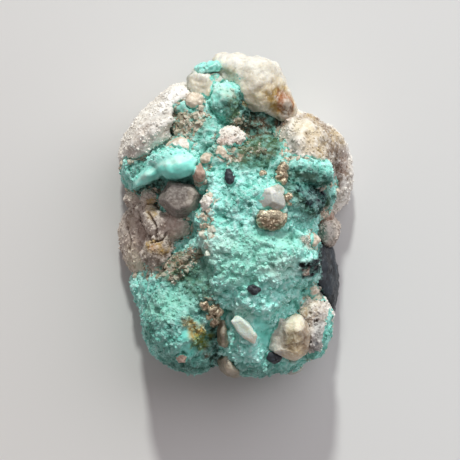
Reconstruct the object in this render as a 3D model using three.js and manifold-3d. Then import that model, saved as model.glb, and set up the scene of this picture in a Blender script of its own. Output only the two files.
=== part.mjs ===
// A loose turquoise hand specimen, lying on its flat broken back with its best face up.
// Millimetres, +Z up, +Y towards the quartz crest. The origin is the middle of the underside.
//
// One mass of turquoise cements sandstone blobs, quartz, pebbles and pyrite onto a piece of dark host rock.
// Each piece is a rounded stone: lobes blended together, roughened, sometimes broken off along flat faces.

import * as THREE from 'three';
import { ImprovedNoise } from 'three/addons/math/ImprovedNoise.js';
import { mergeVertices } from 'three/addons/utils/BufferGeometryUtils.js';
import Module from 'manifold-3d';

// Driving dimensions

const LENGTH = 45; // crest to the foot of the lower lobes
const WIDTH = 32.6; // left block to the right shoulder
const THICKNESS = 21.5; // resting face to the highest point
const BED_GAP = 0.28; // clearance between a set piece and what it is bedded in
const FINE_GRAIN = 1.25; // largest radius of a grain that needs the fewest faces
const HALF_SPACE = 60; // edge of the block that breaks a flat face off a stone
const FOOT_CLEARANCE = 1.2; // height of the broken foot of an outer stone above the ground

// How a stone's surface is looked for along a line, and what most stones have in common

const SEARCH_STEP = 0.3;
const SEARCH_HALVINGS = 14;
const USUAL_REACH = 9; // farther from a stone's middle than any of its surface
const USUAL_BLEND = 0.8; // width of the fillet between two lobes
const USUAL_LUMP = 2.6; // width of the lumps on a stone

const noise = new ImprovedNoise();
const wasm = await Module();
wasm.setup();

// Materials

function mineral(color, roughness, metalness = 0) {
  return new THREE.MeshStandardMaterial({ color, roughness, metalness });
}

const TURQUOISE = mineral(0x79c4b2, 0.6);
const DARK_ROCK = mineral(0x2b3036, 0.55);
const CREAM_QUARTZ = mineral(0xe2d9c0, 0.35);
const GREY_QUARTZ = mineral(0xb9b8a8, 0.3);
const BROWN_QUARTZ = mineral(0x867b68, 0.35);
const PALE_SANDSTONE = mineral(0xc9c2b4, 0.8);
const BROWN_SANDSTONE = mineral(0x8c7d6e, 0.85);
const GREY_STONE = mineral(0x7a716c, 0.85);
const TAN_STONE = mineral(0xc8a983, 0.8);
const PYRITE = mineral(0x9b8259, 0.35, 0.9);

// Shaping

// Signed distance, near enough, from a point to a lobe: a turned ellipsoid.
function lobeDistance(point, lobe) {
  const local = point.clone().sub(lobe.centre).applyQuaternion(lobe.inverse);
  const byRadius = Math.hypot(local.x / lobe.radii[0], local.y / lobe.radii[1], local.z / lobe.radii[2]);
  const bySquare = Math.hypot(
    local.x / lobe.radii[0] ** 2,
    local.y / lobe.radii[1] ** 2,
    local.z / lobe.radii[2] ** 2,
  );
  return bySquare < 1e-9 ? -Math.min(...lobe.radii) : (byRadius * (byRadius - 1)) / bySquare;
}

// A boxy dome for the body of the mass, with the same kind of distance.
function domeDistance(point, dome) {
  const share =
    Math.abs((point.x - dome.at[0]) / dome.radii[0]) ** dome.power +
    Math.abs((point.y - dome.at[1]) / dome.radii[1]) ** dome.power +
    Math.abs((point.z - dome.at[2]) / dome.radii[2]) ** dome.power;
  return (share ** (1 / dome.power) - 1) * Math.min(...dome.radii);
}

function smoothMin(a, b, blend) {
  const h = Math.max(blend - Math.abs(a - b), 0) / blend;
  return Math.min(a, b) - (h * h * blend) / 4;
}

// A lobe from its place, its radii and how it is turned: about Z, then with its far end tipped up.
function lobe(at, radii, turn = 0, tip = 0) {
  const angles = new THREE.Euler(0, THREE.MathUtils.degToRad(-tip), THREE.MathUtils.degToRad(turn), 'ZYX');
  const inverse = new THREE.Quaternion().setFromEuler(angles).invert();
  return { centre: new THREE.Vector3(...at), radii, inverse };
}

// Rounded lumps with sharp valleys between them, as grown crusts have: coarse ones, and finer ones on those.
function roughness(point, size, height) {
  const coarse = noise.noise(point.x / size, point.y / size, point.z / size);
  const half = size / 2.1;
  const fine = noise.noise(point.x / half + 7, point.y / half + 3, point.z / half);
  return height * (0.5 - Math.abs(coarse) * 1.6 - Math.abs(fine) * 0.7);
}

function stoneField(stone) {
  const blend = stone.blend ?? USUAL_BLEND;
  const size = stone.lumpSize ?? USUAL_LUMP;
  return (point) => {
    let distance = stone.dome ? domeDistance(point, stone.dome) : Infinity;
    for (const one of stone.lobes) {
      const next = lobeDistance(point, one);
      distance = distance === Infinity ? next : smoothMin(distance, next, blend);
    }
    for (const hollow of stone.hollows ?? []) {
      distance = -smoothMin(-distance, lobeDistance(point, hollow), blend);
    }
    return distance - roughness(point, size, stone.lumpHeight);
  };
}

function toManifold(geometry) {
  const bare = geometry.clone();
  bare.deleteAttribute('normal');
  bare.deleteAttribute('uv');
  const merged = mergeVertices(bare, 1e-4);
  return new wasm.Manifold(
    new wasm.Mesh({
      numProp: 3,
      vertProperties: merged.attributes.position.array,
      triVerts: new Uint32Array(merged.index.array),
    }),
  );
}

function toGeometry(solid) {
  const mesh = solid.getMesh();
  const geometry = new THREE.BufferGeometry();
  geometry.setAttribute('position', new THREE.BufferAttribute(new Float32Array(mesh.vertProperties), 3));
  geometry.setIndex(new THREE.BufferAttribute(new Uint32Array(mesh.triVerts), 1));
  geometry.computeVertexNormals();
  return geometry;
}

// The stone's skin: each point of a geodesic ball slides along its ray until it meets the field.
function skin(stone, swell) {
  const field = stoneField(stone);
  const ball = new THREE.IcosahedronGeometry(1, stone.detail);
  const positions = ball.getAttribute('position');
  const centre = stone.centre ? new THREE.Vector3(...stone.centre) : stone.lobes[0].centre;
  const direction = new THREE.Vector3();
  const probe = new THREE.Vector3();
  const inside = (reach) => field(probe.copy(centre).addScaledVector(direction, reach)) < swell;
  for (let i = 0; i < positions.count; i += 1) {
    direction.fromBufferAttribute(positions, i).normalize();
    let outer = stone.reach ?? USUAL_REACH;
    while (outer > SEARCH_STEP && !inside(outer)) outer -= SEARCH_STEP;
    let inner = outer;
    outer += SEARCH_STEP;
    for (let k = 0; k < SEARCH_HALVINGS; k += 1) {
      const middle = (inner + outer) / 2;
      if (inside(middle)) inner = middle;
      else outer = middle;
    }
    probe.copy(centre).addScaledVector(direction, inner);
    positions.setXYZ(i, probe.x, probe.y, probe.z);
  }
  return toManifold(ball);
}

// Everything beyond a plane, as one large block.
function beyondPlane(origin, towards, reach) {
  const normal = new THREE.Vector3(...towards).normalize();
  const block = new THREE.BoxGeometry(HALF_SPACE, HALF_SPACE, HALF_SPACE);
  const turn = new THREE.Quaternion().setFromUnitVectors(new THREE.Vector3(0, 0, 1), normal);
  const place = origin.clone().addScaledVector(normal, reach + HALF_SPACE / 2);
  return toManifold(block.applyMatrix4(new THREE.Matrix4().compose(place, turn, new THREE.Vector3(1, 1, 1))));
}

function breakFaces(solid, stone, swell) {
  const centre = stone.lobes[0].centre;
  return (stone.faces ?? []).reduce(
    (left, face) => left.subtract(beyondPlane(centre, face.towards, face.reach + swell)),
    solid,
  );
}

// Small cubes grown into a stone, as pyrite grows.
function growCubes(solid, stone, swell) {
  return (stone.cubes ?? []).reduce((grown, cube) => {
    const edge = cube.edge + swell * 2;
    const geometry = new THREE.BoxGeometry(edge, edge, edge);
    geometry.applyMatrix4(
      new THREE.Matrix4().makeRotationFromEuler(new THREE.Euler(...cube.turn)).setPosition(...cube.at),
    );
    return grown.add(toManifold(geometry));
  }, solid);
}

function largestBody(solid) {
  return solid.decompose().sort((a, b) => b.volume() - a.volume())[0];
}

// The stone with no swell, or a shape that clears it all round by the swell.
function shape(stone, swell = 0) {
  let solid = breakFaces(skin(stone, swell), stone, swell);
  solid = growCubes(solid, stone, swell);
  for (const part of stone.grownOn ?? []) solid = solid.add(shape(part, swell));
  return solid;
}

// The bed that a stone needs in its neighbours: smooth, clear of the stone's own lumps by the bed gap.
function bed(stone) {
  return shape({ ...stone, lumpHeight: 0 }, BED_GAP + stone.lumpHeight / 2);
}

// The height of the open face above a point of the ground plan.
function topOf(field, x, y) {
  const point = new THREE.Vector3(x, y, THICKNESS);
  while (point.z > 0 && field(point) > 0) point.z -= SEARCH_STEP / 4;
  return point.z;
}

// The turquoise mass: a boxy dome with lobes at its foot, knobs on its back and a slab that stands proud.

const MASS = {
  name: 'turquoise_mass',
  material: TURQUOISE,
  detail: 10,
  centre: [0, -0.5, 8.6],
  reach: LENGTH * 0.6,
  blend: 0.9,
  lumpSize: 3.1,
  lumpHeight: 0.75,
  dome: { at: [0.3, -0.8, 9.6], radii: [WIDTH * 0.33, LENGTH * 0.29, THICKNESS * 0.465], power: 2.5 },
  lobes: [
    lobe([-8.0, -14.1, 5.6], [5.3, 7.4, 11.1], 13), // lower left lobe
    lobe([-9.9, -9.4, 5.8], [3.1, 3.8, 9.0]), // its shoulder against the left block
    lobe([-11.7, -9.6, 2.8], [3.0, 3.7, 3.2]), // the low rim below that shoulder
    lobe([-5.4, -16.4, 8.0], [3.0, 5.4, 7.4]), // its side along the cleft
    lobe([2.4, -15.6, 8.0], [5.0, 6.5, 8.0]), // lower middle lobe
    lobe([6.0, -16.6, 7.0], [4.2, 5.2, 6.4]), // foot between the middle and right lobes
    lobe([8.2, -13.8, 6.6], [4.7, 7.4, 6.2], -13), // lower right lobe
    lobe([7.6, -6.2, 10.4], [3.9, 4.6, 5.4]), // right flank above the dark rock
    lobe([1.2, 12.6, 8.4], [5.2, 3.4, 4.8]), // floor of the valley under the crest
    lobe([-5.8, 12.4, 11.0], [4.0, 4.6, 5.0]), // rubble between the knob and the left shoulder
    lobe([-3.9, 11.0, 15.2], [2.3, 1.8, 2.0]),
    lobe([-12.7, 6.4, 5.4], [3.4, 3.6, 8.6]), // rough green flank left of the slab
    lobe([-9.6, 6.6, 12.4], [3.6, 3.2, 3.6]),
    lobe([11.2, 2.8, 4.8], [2.4, 3.2, 8.6], -20), // green flank under the right shoulder
    lobe([12.2, 2.6, 3.0], [3.0, 3.1, 3.4]), // the low rim below that flank
    lobe([0.4, 2.2, 17.2], [3.4, 2.2, 2.9], 15), // mounds of the open face
    lobe([5.6, -4.6, 16.9], [3.4, 2.3, 3.0], -10),
    lobe([4.7, -7.7, 16.8], [3.2, 1.1, 2.6], -14), // ledge across the open face
    lobe([2.6, -11.4, 15.0], [3.4, 2.2, 3.0], -12),
    lobe([-1.8, -3.6, 17.0], [3.0, 2.6, 3.0], 30),
    lobe([9.0, -6.4, 14.4], [2.6, 2.6, 2.6]),
    lobe([8.2, 1.6, 15.6], [3.0, 2.2, 3.0]),
  ],
  hollows: [
    lobe([4.2, 11.2, 20.4], [3.4, 3.0, 5.4], 20), // shaded valley between the knob and the right shoulder
    lobe([-6.6, -6.8, 21.4], [3.6, 5.4, 6.2], 24), // slope above the left lobe
    lobe([-2.7, -18.4, 17.4], [1.0, 6.6, 8.6], 4), // cleft between the lower lobes
    lobe([-7.2, 2.6, 19.6], [3.8, 3.2, 5.0]), // seat of the pebble
    lobe([-11.4, -2.0, 17.4], [6.6, 4.2, 5.6]), // room for the left block
    lobe([7.8, -17.2, 17.2], [5.4, 4.8, 5.8]), // room for the quartz nodule
    lobe([14.4, -8.9, 11.8], [3.1, 7.0, 6.8]), // side that lets the dark rock show
  ],
  faces: [{ towards: [0.12, 0.03, -1], reach: 2.6 }], // where it sits on the dark rock
  grownOn: [
    {
      detail: 3,
      blend: 0.5,
      centre: [-9.6, 6.4, 16.6],
      lumpSize: 1.8,
      lumpHeight: 0.25,
      lobes: [
        lobe([-7.9, 6.8, 17.5], [3.0, 1.9, 1.8], 6, 6), // the smooth slab, high end
        lobe([-12.1, 5.4, 14.8], [3.8, 1.25, 1.7], 31, 36), // its low end
        lobe([-9.6, 7.9, 16.6], [2.6, 1.0, 1.5], 14, 10), // its rough upper rim
      ],
    },
    {
      detail: 2,
      centre: [9.8, 6.0, 14.8],
      lumpSize: 1.5,
      lumpHeight: 0.22,
      lobes: [
        lobe([8.6, 6.4, 15.2], [2.4, 1.6, 2.3], -12), // fringe under the right shoulder
        lobe([11.2, 5.8, 14.2], [2.2, 1.6, 2.2], 10),
      ],
    },
    {
      detail: 2,
      blend: 0.4,
      centre: [-1.0, 15.0, 12.0],
      lumpSize: 1.9,
      lumpHeight: 0.4,
      lobes: [
        lobe([-1.4, 15.9, 12.2], [2.3, 2.5, 4.8], 10), // knob under the crest
        lobe([-0.2, 13.6, 11.4], [2.5, 1.8, 4.2]), // its dark foot
      ],
    },
    // Knobs along the left edge.
    { detail: 1, lumpHeight: 0.1, lobes: [lobe([-12.3, -9.5, 10.4], [1.0, 1.0, 1.6])] },
    { detail: 1, lumpHeight: 0.1, lobes: [lobe([-13.9, -9.9, 4.2], [0.9, 0.9, 2.4])] },
    { detail: 1, lumpHeight: 0.1, lobes: [lobe([-11.7, -7.2, 9.6], [0.9, 1.5, 1.8])] },
    // A nub by the left shoulder.
    { detail: 1, lumpHeight: 0.1, lobes: [lobe([-7.4, 14.9, 13.4], [1.2, 1.1, 1.7])] },
  ],
};

const openFace = stoneField(MASS);

// A stone that stands in the open face, with its middle raised above that face by the lift.
function setIn(x, y, lift) {
  return [x, y, topOf(openFace, x, y) + lift];
}

// The dark rock at the back, broken off flat where the specimen rests.

const DARK_HOST = {
  name: 'dark_host_rock',
  material: DARK_ROCK,
  detail: 3,
  centre: [2.2, -3.4, 3.4],
  reach: 22,
  blend: 2.2,
  lumpSize: 5,
  lumpHeight: 0.5,
  lobes: [
    lobe([0.6, -1.8, 3.4], [11.4, 13.2, 4.6]),
    lobe([9.6, -9.2, 3.8], [4.9, 8.2, 7.2], 3), // bulge that shows at the lower right
  ],
  faces: [{ towards: [0, 0, -1], reach: 3.4 }],
};

// The sandstone blobs round the edge.

const LEFT_BLOCK = {
  name: 'sandstone_block_left',
  material: BROWN_SANDSTONE,
  detail: 3,
  centre: [-11.2, -1.4, 9.6],
  reach: 12,
  blend: 0.3,
  lumpSize: 1.7,
  lumpHeight: 0.2,
  lobes: [
    lobe([-11.5, -0.6, 10.8], [1.1, 2.8, 3.5], 14), // narrow block between the two cracks
    lobe([-8.0, -0.9, 12.2], [3.2, 2.3, 3.6]), // inner block
    lobe([-10.0, -4.9, 10.8], [3.1, 2.8, 4.0]), // ochre foot of the blocks
    lobe([-12.2, 1.4, 5.0], [2.8, 1.8, 5.8]), // wedge under the slab
  ],
  faces: [{ towards: [0, 0, -1], reach: 10.8 - FOOT_CLEARANCE }],
  grownOn: [
    {
      detail: 2,
      lumpSize: 1.7,
      lumpHeight: 0.2,
      lobes: [lobe([-13.0, -3.6, 4.4], [4.3, 5.4, 2.5], 12, 52)], // outer block, leaning out
      faces: [{ towards: [0, 0, -1], reach: 4.4 - FOOT_CLEARANCE }],
    },
  ],
};

const UNDER_SLAB = {
  name: 'sandstone_lump_below_slab',
  material: BROWN_SANDSTONE,
  detail: 1,
  centre: [-12.6, 2.5, 9.8],
  blend: 0.3,
  lumpSize: 1.6,
  lumpHeight: 0.15,
  lobes: [lobe([-13.7, 2.6, 7.0], [2.0, 1.5, 3.2]), lobe([-11.5, 2.6, 11.6], [1.7, 1.4, 2.7])],
};

const LEFT_SHOULDER = {
  name: 'sandstone_shoulder_left',
  material: PALE_SANDSTONE,
  detail: 3,
  reach: 16,
  centre: [-10.9, 12.0, 8.4],
  blend: 1.4,
  lumpSize: 2.4,
  lumpHeight: 0.3,
  lobes: [
    lobe([-10.9, 12.0, 5.8], [7.1, 3.2, 10.0], 48),
    lobe([-13.8, 7.6, 4.4], [2.0, 3.6, 7.0]),
    lobe([-7.4, 15.9, 7.4], [2.8, 2.6, 7.6]),
  ],
  faces: [{ towards: [0, 0, -1], reach: 5.8 - FOOT_CLEARANCE }],
};

const RIGHT_SHOULDER = {
  name: 'sandstone_shoulder_right',
  material: PALE_SANDSTONE,
  detail: 3,
  reach: 17,
  centre: [10.6, 8.8, 8.8],
  blend: 2.6,
  lumpSize: 2.2,
  lumpHeight: 0.4,
  lobes: [
    lobe([8.7, 8.4, 8.0], [3.8, 4.2, 9.0], 12), // grey knob, high against the valley
    lobe([10.8, 6.2, 5.4], [2.5, 4.2, 9.0], 2), // brown lobe outside it
    lobe([13.2, 5.4, 2.8], [3.5, 5.0, 4.0], 2), // its low rim
    lobe([9.4, 11.7, 6.8], [4.0, 2.2, 8.0], -28), // yellow upper lobe
    lobe([12.9, 9.9, 4.4], [1.9, 1.7, 5.2]), // honey lump at the corner
  ],
  faces: [{ towards: [0, 0, -1], reach: 8.0 - FOOT_CLEARANCE }],
};

const RIGHT_PEBBLE = {
  name: 'sandstone_pebble_right',
  material: BROWN_SANDSTONE,
  detail: 1,
  lumpHeight: 0.12,
  lobes: [lobe([12.6, -2.0, 4.8], [1.7, 2.2, 4.0])],
};

const LOWER_RIND = {
  name: 'sandstone_rind_lower_right',
  material: PALE_SANDSTONE,
  detail: 2,
  blend: 0.6,
  lumpSize: 1.5,
  lumpHeight: 0.22,
  centre: [10.4, -15.0, 9.6],
  lobes: [lobe([10.9, -15.3, 9.2], [2.2, 4.5, 5.0], -8), lobe([10.4, -12.8, 10.8], [2.3, 1.9, 3.4])],
};

// The quartz: crest, chips, veins in the cleft, and the nodule at the lower right.

const CREST = {
  name: 'quartz_crest',
  material: CREAM_QUARTZ,
  detail: 3,
  reach: 10,
  centre: [2.8, 18.0, 9.8],
  blend: 1.3,
  lumpSize: 2.6,
  lumpHeight: 0.22,
  lobes: [
    lobe([2.9, 18.0, 10.2], [3.8, 3.9, 5.0]),
    lobe([-0.9, 20.8, 8.8], [2.6, 1.9, 3.4], 10),
    lobe([6.3, 15.1, 10.2], [1.8, 2.6, 3.4], 24), // stained corner
  ],
};

const CREST_CHIP = {
  name: 'quartz_chip_by_crest',
  material: GREY_QUARTZ,
  detail: 1,
  lumpHeight: 0.08,
  lobes: [lobe([-4.2, 17.8, 11.2], [2.5, 3.1, 3.2], 20)],
  faces: [
    { towards: [-0.5, 0.1, 1], reach: 2.2 },
    { towards: [0.7, 0.2, 1], reach: 2.3 },
    { towards: [0.1, 1, 0.5], reach: 2.2 },
  ],
};

const UPPER_VEIN = {
  name: 'quartz_vein_upper',
  material: BROWN_QUARTZ,
  detail: 1,
  lumpHeight: 0.12,
  lobes: [lobe([-1.8, -16.0, 11.8], [1.0, 2.7, 3.2], 4)],
};

const LOWER_VEIN = {
  name: 'quartz_vein_lower',
  material: BROWN_QUARTZ,
  detail: 2,
  lumpHeight: 0.1,
  lobes: [lobe([-0.8, -19.4, 8.0], [2.0, 3.0, 5.2], 22)],
  faces: [{ towards: [-0.6, -0.2, 1], reach: 3.8 }],
};

const SLIVER = {
  name: 'quartz_sliver',
  material: CREAM_QUARTZ,
  detail: 1,
  lumpHeight: 0.06,
  reach: 5,
  lobes: [lobe(setIn(1.2, -15.4, -0.1), [2.9, 0.95, 1.2], -48, -16)],
  faces: [{ towards: [-0.2, -0.35, 1], reach: 0.75 }],
};

const LOWER_NODULE = {
  name: 'quartz_nodule_lower_right',
  material: CREAM_QUARTZ,
  detail: 3,
  blend: 0.35,
  lumpSize: 2,
  lumpHeight: 0.15,
  centre: [7.0, -16.4, 11.2],
  lobes: [
    lobe([8.0, -16.4, 11.2], [2.3, 3.3, 4.6], -6), // milky bulb
    lobe([5.6, -16.2, 10.8], [1.8, 3.3, 4.6], 10), // grey flat facet beside it
  ],
  faces: [{ towards: [-0.75, 0.1, 0.9], reach: 3.55 }],
};

const FOOT_NUB = {
  name: 'quartz_nub_at_foot',
  material: GREY_QUARTZ,
  detail: 1,
  lumpHeight: 0.08,
  lobes: [lobe([7.5, -20.6, 6.0], [1.9, 1.3, 2.6])],
};

// Pebbles, chips and crystals set in the open face.

const CHIP_CAP = {
  name: 'turquoise_cap',
  material: TURQUOISE,
  detail: 1,
  lumpSize: 1.4,
  lumpHeight: 0.12,
  lobes: [lobe([-3.5, 20.5, 12.2], [1.6, 0.75, 1.5], 8), lobe([-5.0, 20.2, 11.8], [0.9, 0.6, 1.1], -10)],
};

const SHOULDER_CHIP = {
  name: 'tan_chip_by_shoulder',
  material: TAN_STONE,
  detail: 1,
  lumpHeight: 0.1,
  lobes: [lobe([-5.7, 15.6, 14.6], [1.2, 1.2, 1.7], 30)],
};

const PEBBLE = {
  name: 'grey_pebble',
  material: GREY_STONE,
  detail: 2,
  lumpSize: 2.2,
  lumpHeight: 0.12,
  lobes: [lobe([-7.4, 2.5, 15.8], [3.1, 2.6, 2.9])],
  faces: [
    { towards: [-0.12, 0.1, 1], reach: 2.15 }, // the broad top face
    { towards: [0.1, 1, 0.35], reach: 2.0 },
    { towards: [-0.9, 0.5, 0.3], reach: 2.4 },
    { towards: [-0.8, -0.75, 0.35], reach: 2.3 },
    { towards: [0.25, -1, 0.5], reach: 2.1 },
    { towards: [1, -0.35, 0.6], reach: 2.3 },
    { towards: [0.85, 0.7, 0.4], reach: 2.35 },
  ],
};

const CENTRE_CRYSTAL = {
  name: 'quartz_crystal_centre',
  material: GREY_QUARTZ,
  detail: 2,
  lumpHeight: 0.04,
  lobes: [lobe([4.4, 2.2, 18.6], [2.6, 2.4, 2.6])],
  faces: [
    { towards: [-0.35, 0.15, 1], reach: 1.75 },
    { towards: [0.55, 0.35, 1], reach: 1.9 },
    { towards: [0.15, -0.7, 1], reach: 1.85 },
    { towards: [-0.3, 1, 0.4], reach: 1.9 },
    { towards: [-1, -0.1, 0.35], reach: 2.15 },
    { towards: [1, 0.1, 0.35], reach: 2.2 },
  ],
};

const HALF_DISC = {
  name: 'pyrite_half_disc',
  material: PYRITE,
  detail: 2,
  lumpSize: 1.2,
  lumpHeight: 0.12,
  lobes: [lobe([4.6, 0.2, 19.2], [2.1, 2.2, 1.6])],
  faces: [
    { towards: [0.05, 1, -0.25], reach: 0.1 }, // the straight broken edge
    { towards: [0, -0.25, 1], reach: 1.25 },
  ],
};

const RIGHT_PAIR = {
  name: 'pyrite_pair_right_of_crystal',
  material: PYRITE,
  detail: 1,
  blend: 0.25,
  lumpSize: 0.9,
  lumpHeight: 0.14,
  centre: [7.6, 2.0, 18.0],
  lobes: [lobe([7.1, 2.2, 18.4], [0.9, 0.9, 1.0]), lobe([8.5, 1.7, 17.8], [0.85, 0.95, 1.0])],
  cubes: [
    { at: [7.0, 2.6, 19.1], edge: 0.8, turn: [0.5, 0.3, 0.2] },
    { at: [8.8, 1.9, 18.5], edge: 0.8, turn: [0.2, 0.7, 0.4] },
    { at: [8.2, 1.1, 18.3], edge: 0.7, turn: [0.9, 0.1, 0.3] },
  ],
};

const UPPER_LUMP = {
  name: 'pyrite_lump_above_crystal',
  material: PYRITE,
  detail: 1,
  lumpSize: 0.9,
  lumpHeight: 0.14,
  lobes: [lobe([6.0, 5.6, 17.3], [0.95, 1.5, 1.5])],
  cubes: [
    { at: [6.2, 6.6, 17.9], edge: 0.9, turn: [0.3, 0.5, 0.7] },
    { at: [5.6, 5.3, 18.3], edge: 0.8, turn: [0.6, 0.2, 0.1] },
    { at: [6.2, 4.7, 18.3], edge: 0.7, turn: [0.2, 0.8, 0.5] },
  ],
};

const CLEFT_CLUSTER = {
  name: 'pyrite_cluster_at_cleft',
  material: PYRITE,
  detail: 1,
  blend: 0.3,
  lumpSize: 1,
  lumpHeight: 0.14,
  lobes: [lobe([-3.3, -13.9, 14.0], [1.1, 1.2, 1.6]), lobe([-3.6, -12.4, 15.0], [1.5, 0.9, 1.2], -18)],
  cubes: [
    { at: [-4.3, -12.0, 15.9], edge: 0.9, turn: [0.4, 0.2, 0.5] },
    { at: [-3.3, -12.6, 16.0], edge: 1.0, turn: [0.7, 0.5, 0.1] },
    { at: [-2.5, -13.0, 15.7], edge: 0.8, turn: [0.1, 0.6, 0.8] },
    { at: [-3.6, -13.6, 15.4], edge: 0.8, turn: [0.9, 0.3, 0.4] },
  ],
};

// A single grain set in the open face: its name, finish, place, lift, radii and turn.
function grain(name, material, [x, y], lift, radii, turn = 0) {
  const one = lobe(setIn(x, y, lift), radii, turn);
  const detail = Math.max(...radii) > FINE_GRAIN ? 1 : 0;
  return { name, material, detail, lumpHeight: 0.07, lumpSize: 1, reach: 4, lobes: [one] };
}

const GRAINS = [
  grain('tan_chip_above_slab', TAN_STONE, [-7.1, 9.5], 0.3, [2.5, 1.4, 1.7], 8),
  grain('sparkling_chip_centre', PALE_SANDSTONE, [-0.8, 10.2], 0.2, [2.5, 1.9, 1.7], -6),
  grain('tan_grain_below_chip', TAN_STONE, [-1.9, 8.4], 0, [0.95, 1.1, 1.1], 25),
  grain('round_tan_grain', TAN_STONE, [-3.9, 7.6], 0, [0.95, 0.95, 1.1]),
  grain('rosy_grain_by_slab', TAN_STONE, [-5.1, 5.9], 0.2, [0.8, 1.4, 1.1], 20),
  grain('sparkling_grain_by_pebble', PALE_SANDSTONE, [-3.8, 1.8], 0, [1.0, 1.2, 1.1], -30),
  grain('dark_grain_upper', DARK_ROCK, [-0.8, 5.0], -0.2, [0.9, 1.6, 1.2], 8),
  grain('dark_grain_lower', DARK_ROCK, [2.4, -9.8], 0.1, [1.1, 0.9, 1.0], -25),
  grain('pyrite_grain_left', PYRITE, [3.5, 5.7], 0.2, [0.55, 0.55, 0.8]),
  grain('pyrite_grain_right', PYRITE, [4.6, 5.3], 0.2, [0.55, 0.5, 0.8], 20),
  grain('rosy_grain_right', TAN_STONE, [12.2, 0.0], 0, [1.3, 1.1, 1.4], 20),
  grain('tan_grain_right', TAN_STONE, [9.9, -3.2], 0, [1.4, 1.0, 1.2]),
  grain('beige_grain_lower_right', TAN_STONE, [10.3, -10.3], 0.1, [1.1, 1.0, 1.2], 10),
  grain('rosy_grain_in_lobe', TAN_STONE, [-7.4, -19.2], -0.1, [0.8, 0.8, 1.0], 15),
  grain('dark_grain_at_foot', DARK_ROCK, [4.9, -19.2], 0.3, [1.3, 0.9, 1.1], -8),
];

// Setting the stones: all are cut back to clear the mass, and each to clear those listed after it.

const SET_STONES = [
  LEFT_BLOCK,
  UNDER_SLAB,
  LEFT_SHOULDER,
  RIGHT_SHOULDER,
  DARK_HOST,
  CREST,
  CREST_CHIP,
  CHIP_CAP,
  SHOULDER_CHIP,
  PEBBLE,
  LOWER_RIND,
  LOWER_NODULE,
  FOOT_NUB,
  RIGHT_PEBBLE,
  UPPER_VEIN,
  LOWER_VEIN,
  SLIVER,
  CENTRE_CRYSTAL,
  HALF_DISC,
  RIGHT_PAIR,
  UPPER_LUMP,
  CLEFT_CLUSTER,
  ...GRAINS,
];

function boxesMeet(one, other) {
  const a = one.boundingBox();
  const b = other.boundingBox();
  return [0, 1, 2].every((axis) => a.min[axis] <= b.max[axis] && b.min[axis] <= a.max[axis]);
}

const clearOfMass = shape(MASS, BED_GAP);
const setSolids = SET_STONES.map((stone) => largestBody(shape(stone).subtract(clearOfMass)));
const bedded = setSolids.map((solid, index) => {
  const cutters = SET_STONES.slice(index + 1)
    .map(bed)
    .filter((cutter) => boxesMeet(solid, cutter));
  return largestBody(cutters.reduce((left, cutter) => left.subtract(cutter), solid));
});

const pieces = new THREE.Group();

function addPiece(stone, solid) {
  const mesh = new THREE.Mesh(toGeometry(solid), stone.material);
  mesh.name = stone.name;
  pieces.add(mesh);
}

addPiece(MASS, shape(MASS));
SET_STONES.forEach((stone, index) => addPiece(stone, bedded[index]));

// The whole specimen is moved so that its origin is the middle of its underside.

const extent = new THREE.Box3().setFromObject(pieces);
const middle = extent.getCenter(new THREE.Vector3());
pieces.position.set(-middle.x, -middle.y, -extent.min.z);

const specimen = new THREE.Group();
specimen.name = 'turquoise_specimen';
specimen.add(pieces);

export default specimen;
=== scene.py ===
"""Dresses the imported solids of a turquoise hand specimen, and sets up its floor, lights and camera.

Every solid of the frame is copied, carved finer and given its finish: a crumbly turquoise crust, the dark
rock under it, and the sandstone, quartz, pyrite and pebbles that the crust holds. Lengths are in
millimetres unless a name says metres; the scene itself is in metres.
"""

import itertools
import logging
import math
from abc import ABC, abstractmethod
from dataclasses import dataclass
from enum import Enum

import bpy
import numpy as np
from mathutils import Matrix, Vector
from mathutils.bvhtree import BVHTree


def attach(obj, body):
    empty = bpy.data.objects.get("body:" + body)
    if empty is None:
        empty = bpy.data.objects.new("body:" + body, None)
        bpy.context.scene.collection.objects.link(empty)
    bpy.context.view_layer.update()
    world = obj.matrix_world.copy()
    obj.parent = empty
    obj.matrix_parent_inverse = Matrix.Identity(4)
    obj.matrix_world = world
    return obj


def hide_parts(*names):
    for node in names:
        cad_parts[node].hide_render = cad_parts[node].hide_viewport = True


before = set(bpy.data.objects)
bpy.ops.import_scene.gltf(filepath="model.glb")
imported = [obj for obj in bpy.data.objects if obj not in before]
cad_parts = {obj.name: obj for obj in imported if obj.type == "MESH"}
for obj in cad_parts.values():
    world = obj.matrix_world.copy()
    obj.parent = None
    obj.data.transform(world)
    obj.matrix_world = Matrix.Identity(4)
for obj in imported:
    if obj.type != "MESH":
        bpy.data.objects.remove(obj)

Array = np.ndarray
Colour = tuple[float, float, float, float]

LOG = logging.getLogger("specimen")
MM = 0.001
BODY = "root"
TINT = "tint"

LATTICE_PRIMES = (73856093, 19349663, 83492791)
SEED_PRIME = 2654435761
HASH_STEP = 0x45D9F3B
HASH_MASK = 0xFFFFFFFF
NOISE_GAIN = 1.6
SEED_STEP = 10


class Mark(Enum):
    """The marks that a carved surface carries for its finish, each from 0 to 1.

    A coat is what a neighbour has left on the surface: sand on turquoise, turquoise on a stone. The tone is
    a grain's own number on a stone, and how smooth the surface is on turquoise. The cavity sets where painted
    shade darkens hollows, cracks and pits, and the ridge where tops and edges are lightened, partly as a
    painted highlight.
    """

    CAVITY = "cavity"
    RIDGE = "ridge"
    COAT = "coat"
    TONE = "tone"


class Blend(Enum):
    """The ways in which two colours are laid over each other."""

    MIX = "MIX"
    MULTIPLY = "MULTIPLY"


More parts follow.
